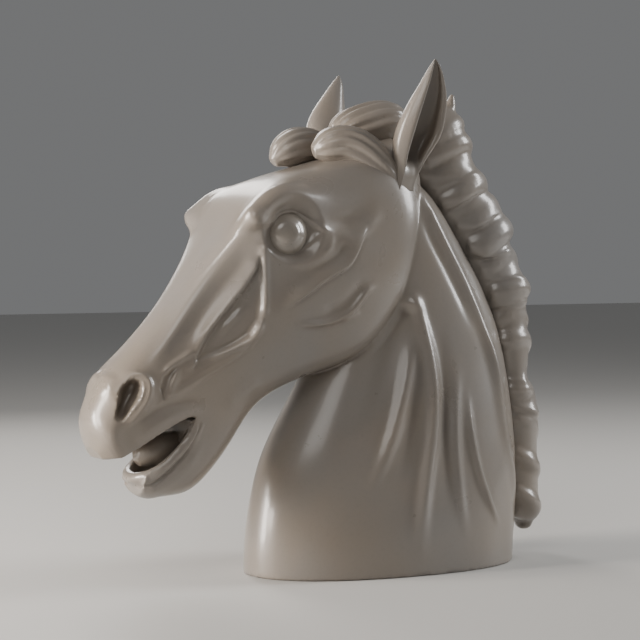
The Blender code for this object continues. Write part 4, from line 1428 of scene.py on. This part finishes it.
def glazed_moulding(name, colour, fold_shade=True):
    """Satin glaze over cast resin: slow shifts of tone, and painted shade that darkens the folds by their
    depth.
    """
    look = Look(name, colour, 0.3, coat=0.35, coat_roughness=0.14)
    warm = tuple(np.array(colour) * (1.05, 1.0, 0.94))
    cool = tuple(np.array(colour) * (0.95, 0.99, 1.05))
    tone = look.ramp(look.noise(7.0, 3.0), [(0.32, cool), (0.68, warm)])
    speck = look.ramp(look.noise(260.0, 4.0, 0.7), [(0.28, (0.9, 0.9, 0.9)), (0.5, (1, 1, 1))])
    tone = look.blend(tone, speck, None, "MULTIPLY", 0.5)
    if fold_shade:
        # Painted shade: the colour is multiplied darker the deeper a point lies in a fold.
        stops = [(0.0, (1, 1, 1)), (0.35, (0.9, 0.89, 0.87)), (1.0, (0.42, 0.38, 0.34))]
        tone = look.blend(tone, look.ramp(look.crease(), stops), None, "MULTIPLY", 0.8)
    look.paint(tone)
    look.drift(look.noise(22.0, 4.0), 0.22, 0.38)
    look.bump(look.noise(420.0, 3.0), 0.05, 0.0004)
    look.bump(look.noise(46.0, 2.0), 0.06, 0.002)
    return look.material


def moulded_plastic(name, colour, roughness):
    """Plain moulded plastic with a fine grain."""
    look = Look(name, colour, roughness)
    tone = look.ramp(look.noise(30.0, 4.0), [(0.3, scaled(colour, 0.88)), (0.7, scaled(colour, 1.12))])
    look.paint(tone)
    look.drift(look.noise(60.0, 3.0), roughness - 0.08, roughness + 0.1)
    look.bump(look.noise(900.0, 2.0), 0.25, 0.0003)
    return look.material


def metal(name, colour, roughness):
    """Bare metal with a fine, uneven sheen."""
    look = Look(name, colour, roughness, metallic=1.0)
    tone = look.ramp(look.noise(150.0, 5.0), [(0.3, scaled(colour, 0.8)), (0.7, scaled(colour, 1.1))])
    look.paint(tone)
    look.drift(look.noise(400.0, 3.0), roughness - 0.1, roughness + 0.15)
    look.bump(look.noise(1500.0, 2.0), 0.2, 0.0001)
    return look.material


def dry_sand(name, colour):
    """Grains of uneven tone."""
    look = Look(name, colour, 0.95)
    stops = [(0.25, scaled(colour, 0.5)), (0.5, colour), (0.75, scaled(colour, 1.4))]
    tone = look.ramp(look.noise(1800.0, 2.0, 0.8), stops)
    look.paint(tone)
    look.bump(look.noise(1400.0, 2.0), 0.7, 0.0006)
    return look.material


moulding = glazed_moulding("taupe_glaze", TAUPE)
eye_look = glazed_moulding("glazed_eye", (0.24, 0.215, 0.185), fold_shade=False)
eye_look.node_tree.nodes["Principled BSDF"].inputs["Coat Weight"].default_value = 0.9
eye_look.node_tree.nodes["Principled BSDF"].inputs["Coat Roughness"].default_value = 0.05
tongue_look = glazed_moulding("glazed_tongue", (0.24, 0.205, 0.17), fold_shade=False)
foot_look = moulded_plastic("dark_foot_plastic", (0.20, 0.18, 0.16), 0.55)
rubber = moulded_plastic("black_rubber", (0.03, 0.03, 0.03), 0.75)
steel = metal("screw_steel", (0.60, 0.60, 0.60), 0.3)
brass = metal("insert_brass", (0.71, 0.55, 0.27), 0.3)
sand = dry_sand("dry_sand", (0.60, 0.49, 0.33))

# ---------------------------------------------------------------- put together


def dress(obj, material):
    obj.data.materials.clear()
    obj.data.materials.append(material)


def add_piece(obj, name, material, nodes, body="knight"):
    obj.name = obj.data.name = name
    dress(obj, material)
    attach(obj, body)
    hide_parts(*nodes)
    count = sum(len(p.vertices) - 2 for p in obj.data.polygons)
    print(f"{name}: {count} triangles")


clay, seam = make_bust()
s, h = clay.head_plane()
lip_middle = np.interp(s, [JAW_BACK, 400, 470], [-50, -53, -48])
jaw_side = np.minimum(s - JAW_BACK, lip_middle - h)
for _ in range(2):
    jaw_side = clay.spread(jaw_side)
neck_faces = face_means(clay, seam) >= 0
jaw_faces = (face_means(clay, jaw_side) > 0) & ~neck_faces
# Depth of the folds, for the painted shade in the glaze.
fold_shade = creases(clay)
for node, chosen, inside in (
    ("neck_shell", neck_faces, (0, 30, 300)),
    ("head_shell", ~neck_faces & ~jaw_faces, (0, -40, 380)),
    ("lower_jaw", jaw_faces, (0, -262, 140)),
):
    add_piece(part_of(clay, node, chosen, inside, fold_shade), f"{node}_skin", moulding, [node])
discard(clay.obj)

hair_nodes, hair_names = hair_tree()
mane = make_mane()
# Depth of the folds, for the painted shade in the glaze.
fold_shade = creases(mane)
place = face_means(mane, mane_places(mane))
for number, (first, last) in enumerate(MANE_LOCKS, 1):
    low = -1 if number == 1 else first
    high = 99 if number == len(MANE_LOCKS) else last
    inside = mane_middle((first + last) / 2)
    node = f"mane_lock_{number}"
    piece = part_of(mane, node, (place >= low) & (place < high), inside, fold_shade)
    add_piece(piece, f"{node}_folds", moulding, [node])
discard(mane.obj)

for node, sections, degrees, thick, turn in (
    ("forelock_left", FORELOCK_LEFT, (-38, -12, 14, 40, 66, 92, 120, 150, 185), 0.30, 22),
    ("forelock_right", FORELOCK_RIGHT, (-20, 10, 40, 68, 96, 124, 152, 180, 208), 0.30, -22),
    ("forelock_crown", FORELOCK_CROWN, (-10, 18, 46, 74, 102, 130, 158, 188), 0.26, 18),
):
    lock = forelock(node, sections, degrees, thick, turn)
    add_piece(whole(lock, node), f"{node}_strands", moulding, [node])

add_piece(make_ear("ear_left_shell", EAR_LEFT, 1), "ear_left_shell", moulding, ["ear_left"])
add_piece(make_ear("ear_right_shell", EAR_RIGHT, -1), "ear_right_shell", moulding, ["ear_right"])
add_piece(make_eye("eye_left_ball", 1), "eye_left_ball", eye_look, ["eye_left"])
add_piece(make_eye("eye_right_ball", -1), "eye_right_ball", eye_look, ["eye_right"])
add_piece(make_tongue(), "tongue_body", tongue_look, ["tongue"])

screw_nodes = [f"base_screw_{number}" for number in range(1, SCREWS + 1)]
add_piece(make_plate(), "foot_plate", foot_look, ["base_plate"])
add_piece(make_screws(), "foot_screws", steel, screw_nodes)
add_piece(make_bung(), "filler_bung_threaded", foot_look, ["filler_bung"], "bung")
add_piece(make_bung_seal(), "bung_seal_ring", rubber, ["bung_seal"], "bung_travel")
for node, look in (
    [("base_seal", rubber), ("foot_ring", foot_look), ("sand_ballast", sand)]
    + [(f"insert_{number}", brass) for number in range(1, SCREWS + 1)]
):
    dress(bpy.data.objects[node], look)

# ---------------------------------------------------------------- floor, light, camera


def area_light(name, place, target, size, power, colour, shape=None):
    light = bpy.data.lights.new(name, "AREA")
    light.energy, light.size, light.color = power, size, colour
    if shape is not None:
        light.shape = "RECTANGLE"
        light.size_y = shape
    obj = bpy.data.objects.new(name, light)
    bpy.context.scene.collection.objects.link(obj)
    obj.location = place
    obj.rotation_euler = (Vector(target) - Vector(place)).to_track_quat("-Z", "Y").to_euler()


floor_mesh = bpy.data.meshes.new("floor")
floor_shape = bmesh.new()
bmesh.ops.create_grid(floor_shape, x_segments=1, y_segments=1, size=8)
floor_shape.to_mesh(floor_mesh)
floor_shape.free()
floor = object_of("floor", floor_mesh)
floor.location.z = -0.0005
floor_look = Look("pale_floor", (0.55, 0.54, 0.52), 0.6)
floor_mesh.materials.append(floor_look.material)

world = bpy.data.worlds.new("studio")
bpy.context.scene.world = world
world.use_nodes = True
world.node_tree.nodes["Background"].inputs["Color"].default_value = (0.78, 0.79, 0.80, 1)
world.node_tree.nodes["Background"].inputs["Strength"].default_value = 0.22

TARGET = Vector((0, -0.069, 0.287))
AZIMUTH, ELEVATION, DISTANCE = math.radians(60), math.radians(2.2), 2.2
back = Vector((
    math.sin(AZIMUTH) * math.cos(ELEVATION),
    -math.cos(AZIMUTH) * math.cos(ELEVATION),
    math.sin(ELEVATION),
))
camera_data = bpy.data.cameras.new("camera")
camera_data.lens = 108
camera_data.sensor_width = 36
camera = bpy.data.objects.new("camera", camera_data)
bpy.context.scene.collection.objects.link(camera)
camera.location = TARGET + back * DISTANCE
camera.rotation_euler = back.to_track_quat("Z", "Y").to_euler()
bpy.context.scene.camera = camera

area_light("key", (-0.3, -2.2, 0.9), (0, -0.1, 0.3), 0.5, 66, (1.0, 0.92, 0.84), 1.4)
area_light("low_strip", (-0.75, -1.9, 0.3), (0, -0.12, 0.14), 0.35, 42, (1.0, 0.93, 0.86), 0.8)
area_light("fill", (1.5, -1.6, 1.9), (0, 0, 0.3), 1.2, 15, (1.0, 0.97, 0.93), 1.2)
area_light("rim", (0.6, 2.2, 1.3), (0, 0.1, 0.3), 0.7, 50, (1.0, 1.0, 1.0), 1.4)
area_light("far_rim", (-1.6, 0.2, 1.2), (0, 0, 0.35), 0.5, 12, (1.0, 0.96, 0.92), 1.2)
